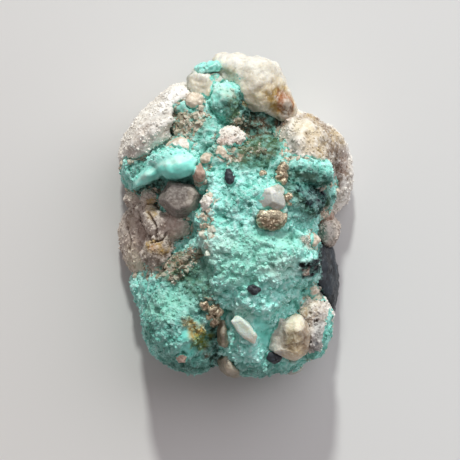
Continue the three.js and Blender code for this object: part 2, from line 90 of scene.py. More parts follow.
def screen_colour(red: float, green: float, blue: float) -> Colour:
    """Turns a colour as a screen shows it, 0 to 255, into the linear colour that shaders use.

    Args:
        red: The red of the screen colour.
        green: The green of the screen colour.
        blue: The blue of the screen colour.

    Returns:
        The linear colour, with full alpha.
    """
    def linear(part: float) -> float:
        """Undoes the screen's own curve for one part."""
        share = part / 255.0
        return share / 12.92 if share <= 0.04045 else ((share + 0.055) / 1.055) ** 2.4

    return (linear(red), linear(green), linear(blue), 1.0)


class Hue(Enum):
    """The colours of stains and zones, some also used to paint shade and light on the turquoise, as a screen
    shows them.
    """

    WHITE = (246, 244, 240)
    CREAM = (236, 226, 198)
    HONEY = (214, 190, 142)
    RUST = (156, 94, 30)
    OCHRE = (182, 150, 84)
    BROWN = (150, 128, 106)
    UMBER = (96, 78, 60)
    ROSY = (190, 162, 148)
    SAND = (216, 204, 184)
    GREY = (170, 172, 170)
    STONE = (132, 132, 120)
    SLATE = (104, 108, 116)
    BLACK = (30, 31, 38)
    MOSS = (112, 122, 32)
    OLIVE = (72, 102, 72)
    TEAL = (46, 112, 96)
    # A deep green for painted shade.
    SHADED_GREEN = (25, 62, 48)
    MINT = (160, 226, 206)
    FROST = (214, 244, 234)
    CYAN = (124, 222, 208)


# Noise on arrays of points


def cell_random(cells: Array, seed: int) -> Array:
    """Gives each cell of a lattice a number that is always the same.

    Args:
        cells: Whole-number cell places, with x, y and z last.
        seed: The series that the numbers come from.

    Returns:
        One number from 0 to 1 for each cell.
    """
    mixed = (
        (cells[..., 0] * LATTICE_PRIMES[0])
        ^ (cells[..., 1] * LATTICE_PRIMES[1])
        ^ (cells[..., 2] * LATTICE_PRIMES[2])
        ^ (seed * SEED_PRIME)
    )
    mixed = mixed & HASH_MASK
    mixed = ((mixed ^ (mixed >> 16)) * HASH_STEP) & HASH_MASK
    mixed = ((mixed ^ (mixed >> 16)) * HASH_STEP) & HASH_MASK
    mixed = mixed ^ (mixed >> 16)
    return mixed / float(HASH_MASK)


def soft_noise(points: Array, size: float, seed: int) -> Array:
    """Gradient noise with hills about as wide as size.

    Args:
        points: The places to read it at.
        size: The width of a hill.
        seed: The series of the noise.

    Returns:
        A value of about -1 to 1 for each point.
    """
    scaled = points / size
    base = np.floor(scaled).astype(np.int64)
    part = scaled - base
    ease = part ** 3 * (part * (part * 6.0 - 15.0) + 10.0)
    total = np.zeros(len(points))
    for corner in itertools.product((0, 1), repeat=3):
        here = np.array(corner)
        cell = base + here
        share = np.prod(np.where(here == 1, ease, 1.0 - ease), axis=1)
        slope = np.stack([cell_random(cell, seed + axis) for axis in range(3)], axis=1) * 2.0 - 1.0
        total += share * np.sum(slope * (part - here), axis=1)
    return total * NOISE_GAIN


def rough_noise(points: Array, size: float, seed: int, layers: int = 3) -> Array:
    """Layers of soft noise, each half as wide and half as strong as the one before.

    Args:
        points: The places to read it at.
        size: The width of the widest hills.
        seed: The series of the noise.
        layers: How many layers there are.

    Returns:
        A value of about -1 to 1 for each point.
    """
    total = np.zeros(len(points))
    strength = 1.0
    for layer in range(layers):
        total += strength * soft_noise(points, size / 2 ** layer, seed + 11 * layer)
        strength *= 0.5
    return total


def ridged_noise(points: Array, size: float, seed: int) -> Array:
    """Noise with sharp winding ridges, from about -1 between them to 1 on them."""
    return 1.0 - 3.2 * np.abs(soft_noise(points, size, seed))


def warped(points: Array, size: float, reach: float, seed: int) -> Array:
    """Moves points about by noise, so that a pattern read there isn't regular.

    Args:
        points: The places to move.
        size: The width of the noise that moves them.
        reach: How far they move.
        seed: The series of the noise.

    Returns:
        The moved places.
    """
    shifts = [soft_noise(points, size, seed + 101 * axis) for axis in range(3)]
    return points + reach * np.stack(shifts, axis=1)


def nearest_cells(points: Array, size: float, seed: int) -> tuple[Array, Array]:
    """Finds the nearest of the seeds scattered one to a cell.

    Args:
        points: The places to look from.
        size: The width of a cell.
        seed: The series of the seeds.

    Returns:
        The distance to the nearest seed in cell widths, and that seed's own number from 0 to 1.
    """
    scaled = points / size
    base = np.floor(scaled).astype(np.int64)
    first = np.full(len(points), 9.0)
    own = np.zeros(len(points))
    for step in itertools.product((-1, 0, 1), repeat=3):
        cell = base + np.array(step)
        place = np.stack([cell_random(cell, seed + axis) for axis in range(3)], axis=1)
        away = np.sum((cell + place - scaled) ** 2, axis=1)
        own = np.where(away < first, cell_random(cell, seed + 7), own)
        first = np.minimum(first, away)
    return np.sqrt(first), own


def crumbs(points: Array, size: float, seed: int) -> tuple[Array, Array]:
    """Round crumbs packed side by side.

    Args:
        points: The places to read them at.
        size: The width of a crumb.
        seed: The series of the crumbs.

    Returns:
        The height from 0 in a gap to 1 on a crumb's top, and each crumb's own number from 0 to 1.
    """
    near, own = nearest_cells(points, size, seed)
    dome = np.sqrt(np.clip(1.0 - (near / 0.82) ** 2, 0.0, 1.0))
    return dome * (0.45 + 0.55 * own), own


def eased(values: Array, low: float, high: float) -> Array:
    """Turns values between low and high into a smooth step from 0 to 1."""
    share = np.clip((values - low) / (high - low), 0.0, 1.0)
    return share * share * (3.0 - 2.0 * share)


# Places on the surface


@dataclass(frozen=True)
class Patch:
    """An oval area of the surface, seen from above.

    It is as long and as wide each way from its middle. Its turn is in degrees, counter-clockwise, and its
    edge is soft and broken by noise.
    """

    x: float
    y: float
    long: float
    wide: float
    turn: float = 0.0
    strength: float = 1.0
    ragged: float = 0.4


@dataclass(frozen=True)
class Tint:
    """A patch of the surface that has a colour of its own."""

    hue: Hue
    patch: Patch


def dab(hue: Hue, *oval: float) -> Tint:
    """Makes a tint of a hue and of the numbers of its patch, in the patch's own order."""
    return Tint(hue, Patch(*oval))


@dataclass(frozen=True)
class Pit:
    """A round hollow, or with a negative depth a round bump."""

    x: float
    y: float
    radius: float
    depth: float


@dataclass(frozen=True)
class Crack:
    """A split along a line of points seen from above."""

    line: tuple[tuple[float, float], ...]
    width: float
    depth: float


class Neighbour:
    """A surface that other pieces lie against."""

    def __init__(self, points: Array, faces: list[tuple[int, ...]]) -> None:
        """Takes the corners and the faces of the surface, in millimetres."""
        self.low = points.min(axis=0)
        self.high = points.max(axis=0)
        self.tree = BVHTree.FromPolygons(points.tolist(), faces)

    @classmethod
    def of_solid(cls, node: str) -> "Neighbour":
        """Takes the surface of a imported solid."""
        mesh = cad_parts[node].data
        flat = np.empty(len(mesh.vertices) * 3)
        mesh.vertices.foreach_get("co", flat)
        return cls(flat.reshape(-1, 3) / MM, [tuple(face.vertices) for face in mesh.polygons])

    def height_of(self, points: Array, reach: float) -> Array:
        """Measures how far points lie outside the surface.

        Args:
            points: The points.
            reach: How far away the surface still counts.

        Returns:
            The distance of each point, negative inside the surface and never more than the reach.
        """
        heights = np.full(len(points), reach)
        inside_box = np.all((points > self.low - reach) & (points < self.high + reach), axis=1)
        for number in np.nonzero(inside_box)[0]:
            place, normal, _, away = self.tree.find_nearest(Vector(points[number]), reach)
            if place is not None:
                outside = (Vector(points[number]) - place).dot(normal) >= 0.0
                heights[number] = away if outside else -away
        return heights


class Carving:
    """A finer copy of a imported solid, whose points are moved to carve it."""

    def __init__(self, node: str, voxel: float, smoothing: int) -> None:
        """Copies a solid at a given fineness and rounds its facets.

        Args:
            node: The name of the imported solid.
            voxel: The width of the new faces.
            smoothing: How many rounds of smoothing the copy gets.
        """
        self.node = node
        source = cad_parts[node]
        raw = bpy.data.objects.new(f"{node}_raw", source.data.copy())
        bpy.context.scene.collection.objects.link(raw)
        remesh = raw.modifiers.new("finer", "REMESH")
        remesh.mode = "VOXEL"
        remesh.voxel_size = voxel * MM
        soften = raw.modifiers.new("soften", "SMOOTH")
        soften.factor = 0.5
        soften.iterations = smoothing
        depsgraph = bpy.context.evaluated_depsgraph_get()
        self.mesh = bpy.data.meshes.new_from_object(raw.evaluated_get(depsgraph))
        bpy.data.objects.remove(raw)
        self.mesh.materials.clear()
        count = len(self.mesh.vertices)
        flat = np.empty(count * 3)
        self.mesh.vertices.foreach_get("co", flat)
        self.points = flat.reshape(-1, 3) / MM
        ends = np.empty(len(self.mesh.edges) * 2, dtype=np.int32)
        self.mesh.edges.foreach_get("vertices", ends)
        self.ends = ends.reshape(-1, 2)
        self.links = np.bincount(self.ends.ravel(), minlength=count)
        self.marks = {mark: np.zeros(count) for mark in Mark}
        self.tint = np.zeros((count, 4))

    def normals(self) -> Array:
        """Gives the direction that each point faces."""
        self.store()
        flat = np.empty(len(self.points) * 3)
        self.mesh.vertex_normals.foreach_get("vector", flat)
        return flat.reshape(-1, 3)

    def store(self) -> None:
        """Writes the points back to the mesh."""
        self.mesh.vertices.foreach_set("co", (self.points * MM).ravel())
        self.mesh.update()

    def as_neighbour(self) -> Neighbour:
        """Gives the carved surface as one that other pieces lie against."""
        return Neighbour(self.points, [tuple(face.vertices) for face in self.mesh.polygons])

    def push(self, heights: Array | float) -> None:
        """Moves each point outwards.

        Args:
            heights: How far each point goes, or one distance for all.
        """
        lift = np.broadcast_to(np.asarray(heights, dtype=float), (len(self.points),))
        self.points = self.points + self.normals() * lift[:, None]

    def break_faces(self, count: int, seed: int, share: float = 0.07, cut: float = 0.9) -> None:
        """Breaks flat faces off a rounded piece, each at a random turn.

        Args:
            count: How many faces there are.
            seed: The series of the turns.
            share: How much of the piece's points lies beyond each of them.
            cut: How much of what lies beyond comes off.
        """
        centre = self.points.mean(axis=0)
        for direction in np.random.default_rng(seed).normal(size=(count, 3)):
            direction = direction / np.linalg.norm(direction)
            reach = (self.points - centre) @ direction
            beyond = np.maximum(reach - np.quantile(reach, 1.0 - share), 0.0)
            self.points = self.points - cut * beyond[:, None] * direction

    def neighbour_mean(self, values: Array) -> Array:
        """Averages values over each point's neighbours.

        Args:
            values: One value or one place for each point.

        Returns:
            The averages, in the same form.
        """
        count = len(self.points)
        table = values.reshape(count, -1)
        sums = np.empty_like(table)
        for column in range(table.shape[1]):
            part = table[:, column]
            sums[:, column] = np.bincount(self.ends[:, 0], part[self.ends[:, 1]], count)
            sums[:, column] += np.bincount(self.ends[:, 1], part[self.ends[:, 0]], count)
        return (sums / self.links[:, None]).reshape(values.shape)

    def hollowness(self, rounds: int) -> Array:
        """Measures how far each point lies under the surface averaged around it.

        Args:
            rounds: How often the surface is averaged, which sets how far round it looks.

        Returns:
            The depth of each point, positive in a hollow.
        """
        level = self.points
        for _ in range(rounds):
            level = self.neighbour_mean(level)
        return np.sum((level - self.points) * self.normals(), axis=1)

    def top_at(self, x: float, y: float, reach: float = 0.6) -> float:
        """Finds the height of the surface above a place.

        Args:
            x: The place along X.
            y: The place along Y.
            reach: How far round it points count.

        Returns:
            The height of the highest point there, or of the whole piece's middle if there is none.
        """
        away = np.hypot(self.points[:, 0] - x, self.points[:, 1] - y)
        near = self.points[away < reach, 2]
        return float(near.max()) if len(near) else float(self.points[:, 2].mean())

    def within(self, patch: Patch, seed: int = 5) -> Array:
        """Weighs how much of each point lies in a patch.

        Args:
            patch: The area, which reaches about its own width below the surface.
            seed: The series of the noise that breaks its edge.

        Returns:
            A weight from 0 to the patch's strength for each point.
        """
        turn = math.radians(patch.turn)
        east = self.points[:, 0] - patch.x
        north = self.points[:, 1] - patch.y
        along = east * math.cos(turn) + north * math.sin(turn)
        across = north * math.cos(turn) - east * math.sin(turn)
        reach_down = 1.6 * max(patch.long, patch.wide)
        down = (self.points[:, 2] - self.top_at(patch.x, patch.y)) / reach_down
        away = np.sqrt((along / patch.long) ** 2 + (across / patch.wide) ** 2 + down ** 2)
        width = min(patch.long, patch.wide)
        away += patch.ragged * rough_noise(self.points, 0.9 * width, seed)
        return patch.strength * eased(-away, -1.35, -0.65)

    def sum_of(self, patches: tuple[Patch, ...]) -> Array:
        """Lays patches over each other, up to a full weight."""
        total = np.zeros(len(self.points))
        for number, patch in enumerate(patches):
            total = np.maximum(total, self.within(patch, 31 + 3 * number))
        return np.clip(total, 0.0, 1.0)

    def paint(self, tints: tuple[Tint, ...], seed: int) -> None:
        """Lays tints over each other, the later ones on top.

        Args:
            tints: The tints.
            seed: The series of the noise that breaks their edges.
        """
        for number, tint in enumerate(tints):
            weight = self.within(tint.patch, seed + 5 * number)
            below = self.tint[:, 3] * (1.0 - weight)
            cover = weight + below
            hue = np.array(screen_colour(*tint.hue.value)[:3])
            mixed = weight[:, None] * hue + below[:, None] * self.tint[:, :3]
            self.tint[:, :3] = mixed / np.maximum(cover, 1e-6)[:, None]
            self.tint[:, 3] = cover

    def sink_pit(self, pit: Pit) -> Array:
        """Carves a pit along the surface's own normals.

        Args:
            pit: The pit to carve.

        Returns:
            How deep each point lies in it, from 0 to 1.
        """
        top = self.top_at(pit.x, pit.y, max(0.4, 0.6 * pit.radius))
        centre = np.array([pit.x, pit.y, top])
        away = np.linalg.norm(self.points - centre, axis=1) / pit.radius
        away += 0.22 * soft_noise(self.points, 0.7 * pit.radius, 77)
        inside = 1.0 - eased(away, 0.25, 1.0)
        self.push(-pit.depth * inside)
        return inside

    def split(self, crack: Crack) -> Array:
        """Carves a crack into the upper side.

        Args:
            crack: The crack to carve.

        Returns:
            How deep each point lies in it, from 0 to 1.
        """
        flat = self.points[:, :2]
        away = np.full(len(flat), 99.0)
        for start, end in zip(crack.line, crack.line[1:]):
            first = np.array(start)
            run = np.array(end) - first
            share = np.clip(((flat - first) @ run) / (run @ run), 0.0, 1.0)
            away = np.minimum(away, np.linalg.norm(flat - first - share[:, None] * run, axis=1))
        away += 0.14 * soft_noise(self.points, 0.6, 57)
        inside = 1.0 - eased(away, 0.15 * crack.width, crack.width)
        inside = inside * eased(self.normals()[:, 2], -0.1, 0.25)
        self.push(-crack.depth * inside)
        return inside

    def finish(self, name: str, material: bpy.types.Material, slot: str) -> None:
        """Makes the carved piece an object of the scene that stands for its solid.

        Args:
            name: The piece's name.
            material: Its finish.
            slot: Not used.
        """
        self.points[:, 2] = np.maximum(self.points[:, 2], 0.0)
        self.store()
        keep_marks(self.mesh, self.marks, self.tint)
        self.mesh.shade_smooth()
        piece = add_piece(name, self.mesh, material)
        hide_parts(self.node)


def keep_marks(mesh: bpy.types.Mesh, marks: dict[Mark, Array], tint: Array) -> None:
    """Writes marks and tints to a mesh, where its finish reads them.

    Args:
        mesh: The mesh.
        marks: One value of each mark for each point.
        tint: A colour and a weight for each point.
    """
    for mark, values in marks.items():
        layer = mesh.attributes.new(mark.value, "FLOAT", "POINT")
        layer.data.foreach_set("value", np.clip(values, 0.0, 1.0).astype(np.float32))
    layer = mesh.attributes.new(TINT, "FLOAT_COLOR", "POINT")
    layer.data.foreach_set("color", np.clip(tint, 0.0, 1.0).astype(np.float32).ravel())


def add_piece(name: str, mesh: bpy.types.Mesh, material: bpy.types.Material) -> bpy.types.Object:
    """Puts a mesh into the scene as a piece that rides on the body.

    Args:
        name: The piece's name.
        mesh: Its mesh, in metres.
        material: Its finish.

    Returns:
        The new object.
    """
    mesh.name = name
    mesh.materials.append(material)
    piece = bpy.data.objects.new(name, mesh)
    bpy.context.scene.collection.objects.link(piece)
    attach(piece, BODY)
    LOG.info("%s: %d faces", name, len(mesh.polygons))
    return piece


# Loose grains


@dataclass(frozen=True)
class GrainKind:
    """How the grains of a layer look and lie.

    Their size has a spread, and the rest says how far they stand out, how uneven their corners are and how
    wide apart they lie.
    """

    size: float
    spread: float = 0.3
    lift: float = 0.1
    chunky: float = 0.28
    spacing: float = 1.0


def icosahedron() -> tuple[Array, Array]:
    """Gives the corners and faces of a regular 20-sided solid of radius 1."""
    golden = (1.0 + math.sqrt(5.0)) / 2.0
    corners = []
    for one, other in itertools.product((-1.0, 1.0), (-golden, golden)):
        corners.extend(((0.0, one, other), (one, other, 0.0), (other, 0.0, one)))
    points = np.array(corners)
    longest_side = 2.02
    faces = []
    for trio in itertools.combinations(range(len(points)), 3):
        a, b, c = (points[i] for i in trio)
        sides = (np.linalg.norm(a - b), np.linalg.norm(b - c), np.linalg.norm(c - a))
        if max(sides) < longest_side:
            outward = np.dot(np.cross(b - a, c - a), a + b + c) > 0.0
            faces.append(trio if outward else (trio[0], trio[2], trio[1]))
    return points / np.linalg.norm(points[0]), np.array(faces)


def random_turns(rng: np.random.Generator, count: int) -> Array:
    """Makes rotation matrices that turn every way.

    Args:
        rng: The source of chance.
        count: How many there are.

    Returns:
        One 3 by 3 matrix for each.
    """
    q = rng.normal(size=(count, 4))
    w, x, y, z = (q / np.linalg.norm(q, axis=1, keepdims=True)).T
    rows = (
        (1 - 2 * (y * y + z * z), 2 * (x * y - z * w), 2 * (x * z + y * w)),
        (2 * (x * y + z * w), 1 - 2 * (x * x + z * z), 2 * (y * z - x * w)),
        (2 * (x * z - y * w), 2 * (y * z + x * w), 1 - 2 * (x * x + y * y)),
    )
    return np.stack([np.stack(row, axis=1) for row in rows], axis=1)


class GrainLayer:
    """A layer of small angular grains, half sunk in the surface of a carved piece."""

    def __init__(self, kind: GrainKind, seed: int) -> None:
        """Starts an empty layer.

        Args:
            kind: How its grains look.
            seed: The series that its places and shapes come from.
        """
        self.kind = kind
        self.rng = np.random.default_rng(seed)
        self.corners: list[Array] = []
        self.marks: dict[Mark, list[Array]] = {mark: [] for mark in Mark}
        self.tints: list[Array] = []

    def spread_on(self, host: Carving, weights: Array, bare: bool = False) -> None:
        """Sets grains on a carved surface, at most one to each small cell of space.

        Args:
            host: The carved piece that holds them.
            weights: How likely a grain is at each of its points, from 0 to 1.
            bare: Whether the grains keep clear of the host's own coat.
        """
        chance = self.rng.random(len(host.points))
        order = self.rng.permutation(len(host.points))
        order = order[chance[order] < weights[order]]
        cell = np.floor(host.points[order] / (self.kind.size * self.kind.spacing)).astype(np.int64)
        _, first = np.unique(cell, axis=0, return_index=True)
        chosen = order[first]
        if len(chosen) == 0:
            return
        centres = host.points[chosen] + host.normals()[chosen] * self.kind.lift * self.kind.size
        self.corners.append(self.shapes(len(chosen)) + centres[:, None, :])
        for mark in Mark:
            values = host.marks[mark][chosen]
            self.marks[mark].append(values * 0.0 if bare and mark is Mark.COAT else values)
        self.tints.append(host.tint[chosen])

    def shapes(self, count: int) -> Array:
        """Makes the corners of grains round the origin.

        Args:
            count: How many grains there are.

        Returns:
            An array of grains, corners and coordinates.
        """
        template, _ = icosahedron()
        rough = 1.0 + self.kind.chunky * (self.rng.random((count, len(template), 1)) * 2.0 - 1.0)
        stretch = 1.0 + self.kind.spread * (self.rng.random((count, 1, 3)) * 2.0 - 1.0)
        chance = self.rng.normal(size=(count, 1, 1)).clip(-1.0, 1.5)
        radius = 0.5 * self.kind.size * (1.0 + self.kind.spread * chance)
        shaped = template[None] * rough * stretch
        return np.einsum("gij,gcj->gci", random_turns(self.rng, count), shaped) * radius

    def finish(self, name: str, material: bpy.types.Material, slot: str) -> None:
        """Joins the grains in one flat-faced piece.

        Args:
            name: The piece's name.
            material: The finish of the grains.
            slot: Not used.
        """
        corners = np.concatenate(self.corners)
        _, faces = icosahedron()
        grains, each = corners.shape[:2]
        all_faces = (faces[None] + each * np.arange(grains)[:, None, None]).reshape(-1, 3)
        points = corners.reshape(-1, 3)
        points[:, 2] = np.maximum(points[:, 2], 0.0)
        mesh = triangle_mesh(points * MM, all_faces)
        marks = {mark: np.repeat(np.concatenate(self.marks[mark]), each) for mark in Mark}
        keep_marks(mesh, marks, np.repeat(np.concatenate(self.tints), each, axis=0))
        add_piece(name, mesh, material)


def triangle_mesh(points: Array, faces: Array) -> bpy.types.Mesh:
    """Makes a mesh of flat triangles.

    Args:
        points: The corners, in metres.
        faces: Three corner numbers for each triangle.

    Returns:
        The new mesh.
    """
    mesh = bpy.data.meshes.new("grains")
    mesh.vertices.add(len(points))
    mesh.vertices.foreach_set("co", points.astype(np.float32).ravel())
    mesh.loops.add(faces.size)
    mesh.loops.foreach_set("vertex_index", faces.astype(np.int32).ravel())
    mesh.polygons.add(len(faces))
    mesh.polygons.foreach_set("loop_start", np.arange(0, faces.size, 3, dtype=np.int32))
    mesh.update()
    mesh.validate()
    mesh.shade_flat()
    return mesh


# Shader nodes


class Wiring:
    """Adds shader nodes to one node tree and joins them."""

    def __init__(self, tree: bpy.types.NodeTree) -> None:
        """Takes the tree that it works in."""
        self.tree = tree

    def node(self, kind: str, **settings: object) -> bpy.types.Node:
        """Adds a node.

        Args:
            kind: The node's type.
            **settings: Properties to set on it.

        Returns:
            The new node.
        """
        made = self.tree.nodes.new(kind)
        for name, value in settings.items():
            setattr(made, name, value)
        return made

    def feed(self, socket: bpy.types.NodeSocket, value: object) -> None:
        """Links a socket to another one, or sets its plain value."""
        if isinstance(value, bpy.types.NodeSocket):
            self.tree.links.new(value, socket)
        else:
            socket.default_value = value

    def math(self, operation: str, first: object, second: object = 0.0) -> bpy.types.NodeSocket:
        """Joins two values, clamped from 0 to 1 where they are added or multiplied."""
        made = self.node("ShaderNodeMath", operation=operation)
        made.use_clamp = operation in ("ADD", "MULTIPLY")
        self.feed(made.inputs[0], first)
        self.feed(made.inputs[1], second)
        return made.outputs[0]

    def mixed(
        self, first: object, second: object, factor: object, blend: Blend = Blend.MIX
    ) -> bpy.types.NodeSocket:
        """Lays one colour over another.

        Args:
            first: The colour below.
            second: The colour on top.
            factor: How much of the top one shows.
            blend: How it is laid on.

        Returns:
            The socket of the new colour.
        """
        made = self.node("ShaderNodeMix", data_type="RGBA", blend_type=blend.value)
        self.feed(made.inputs[0], factor)
        self.feed(made.inputs[6], first)
        self.feed(made.inputs[7], second)
        return made.outputs[2]

    def step(
        self, value: object, low: float, high: float, start: float = 0.0, end: float = 1.0
    ) -> bpy.types.NodeSocket:
        """Turns a value between low and high into a smooth step from start to end."""
        made = self.node("ShaderNodeMapRange", interpolation_type="SMOOTHSTEP")
        self.feed(made.inputs[0], value)
        for number, bound in enumerate((low, high, start, end), start=1):
            made.inputs[number].default_value = bound
        return made.outputs[0]

    def noise(
        self, where: object, size: object, detail: float = 3.0, rough: float = 0.55
    ) -> bpy.types.NodeSocket:
        """Adds noise whose hills are about size millimetres wide.

        Args:
            where: The socket of the coordinates, in metres.
            size: The width of a hill.
            detail: How many finer layers it has.
            rough: How strong they are.

        Returns:
            The socket of a value round 0.5.
        """
        made = self.node("ShaderNodeTexNoise")
        self.feed(made.inputs["Vector"], where)
        made.inputs["Detail"].default_value = detail
        made.inputs["Roughness"].default_value = rough
        self.set_scale(made, size)
        return made.outputs["Fac"]

    def cells(self, where: object, size: object) -> tuple[bpy.types.NodeSocket, bpy.types.NodeSocket]:
        """Adds a cell pattern whose cells are about size millimetres wide.

        Args:
            where: The socket of the coordinates, in metres.
            size: The width of a cell.

        Returns:
            The sockets of the distance from a cell's middle and of each cell's own number.
        """
        made = self.node("ShaderNodeTexVoronoi")
        self.feed(made.inputs["Vector"], where)
        self.set_scale(made, size)
        own = self.node("ShaderNodeSeparateColor")
        self.feed(own.inputs[0], made.outputs["Color"])
        return made.outputs["Distance"], own.outputs[0]

    def set_scale(self, made: bpy.types.Node, size: object) -> None:
        """Sets a texture's scale from a size in millimetres, which may be a socket."""
        if isinstance(size, bpy.types.NodeSocket):
            scale = self.node("ShaderNodeMath", operation="DIVIDE")
            scale.inputs[0].default_value = 1.0 / MM
            self.feed(scale.inputs[1], size)
            self.feed(made.inputs["Scale"], scale.outputs[0])
        else:
            made.inputs["Scale"].default_value = 1.0 / (size * MM)

    def stretched(
        self, where: object, scale: tuple[float, float, float], turn: tuple[float, float, float]
    ) -> bpy.types.NodeSocket:
        """Turns and stretches coordinates, for a pattern that runs one way."""
        made = self.node("ShaderNodeMapping")
        self.feed(made.inputs["Vector"], where)
        made.inputs["Rotation"].default_value = [math.radians(angle) for angle in turn]
        made.inputs["Scale"].default_value = scale
        return made.outputs[0]

    def moved(self, where: object, size: float, reach: float) -> bpy.types.NodeSocket:
        """Moves coordinates about by noise, so that a pattern read there isn't regular.

        Args:
            where: The socket of the coordinates, in metres.
            size: The width of the noise that moves them, in millimetres.
            reach: How far they move, in millimetres.

        Returns:
            The socket of the moved coordinates.
        """
        bend = self.node("ShaderNodeTexNoise")
        self.feed(bend.inputs["Vector"], where)
        self.set_scale(bend, size)
        shift = self.node("ShaderNodeVectorMath", operation="SCALE")
        self.feed(shift.inputs[0], bend.outputs["Color"])
        shift.inputs["Scale"].default_value = reach * MM
        total = self.node("ShaderNodeVectorMath", operation="ADD")
        self.feed(total.inputs[0], where)
        self.feed(total.inputs[1], shift.outputs[0])
        return total.outputs[0]

    def mark(self, mark: Mark) -> bpy.types.NodeSocket:
        """Reads a mark of the carved surface."""
        return self.node("ShaderNodeAttribute", attribute_name=mark.value).outputs["Fac"]

    def group(self, tree: bpy.types.NodeTree, **values: object) -> bpy.types.Node:
        """Places a node group and feeds its inputs by name, with underscores for spaces."""
        made = self.node("ShaderNodeGroup")
        made.node_tree = tree
        for name, value in values.items():
            self.feed(made.inputs[name.replace("_", " ")], value)
        return made


class SocketKind(Enum):
    """The kinds of socket that a node group has."""

    VALUE = "NodeSocketFloat"
    COLOUR = "NodeSocketColor"
    VECTOR = "NodeSocketVector"


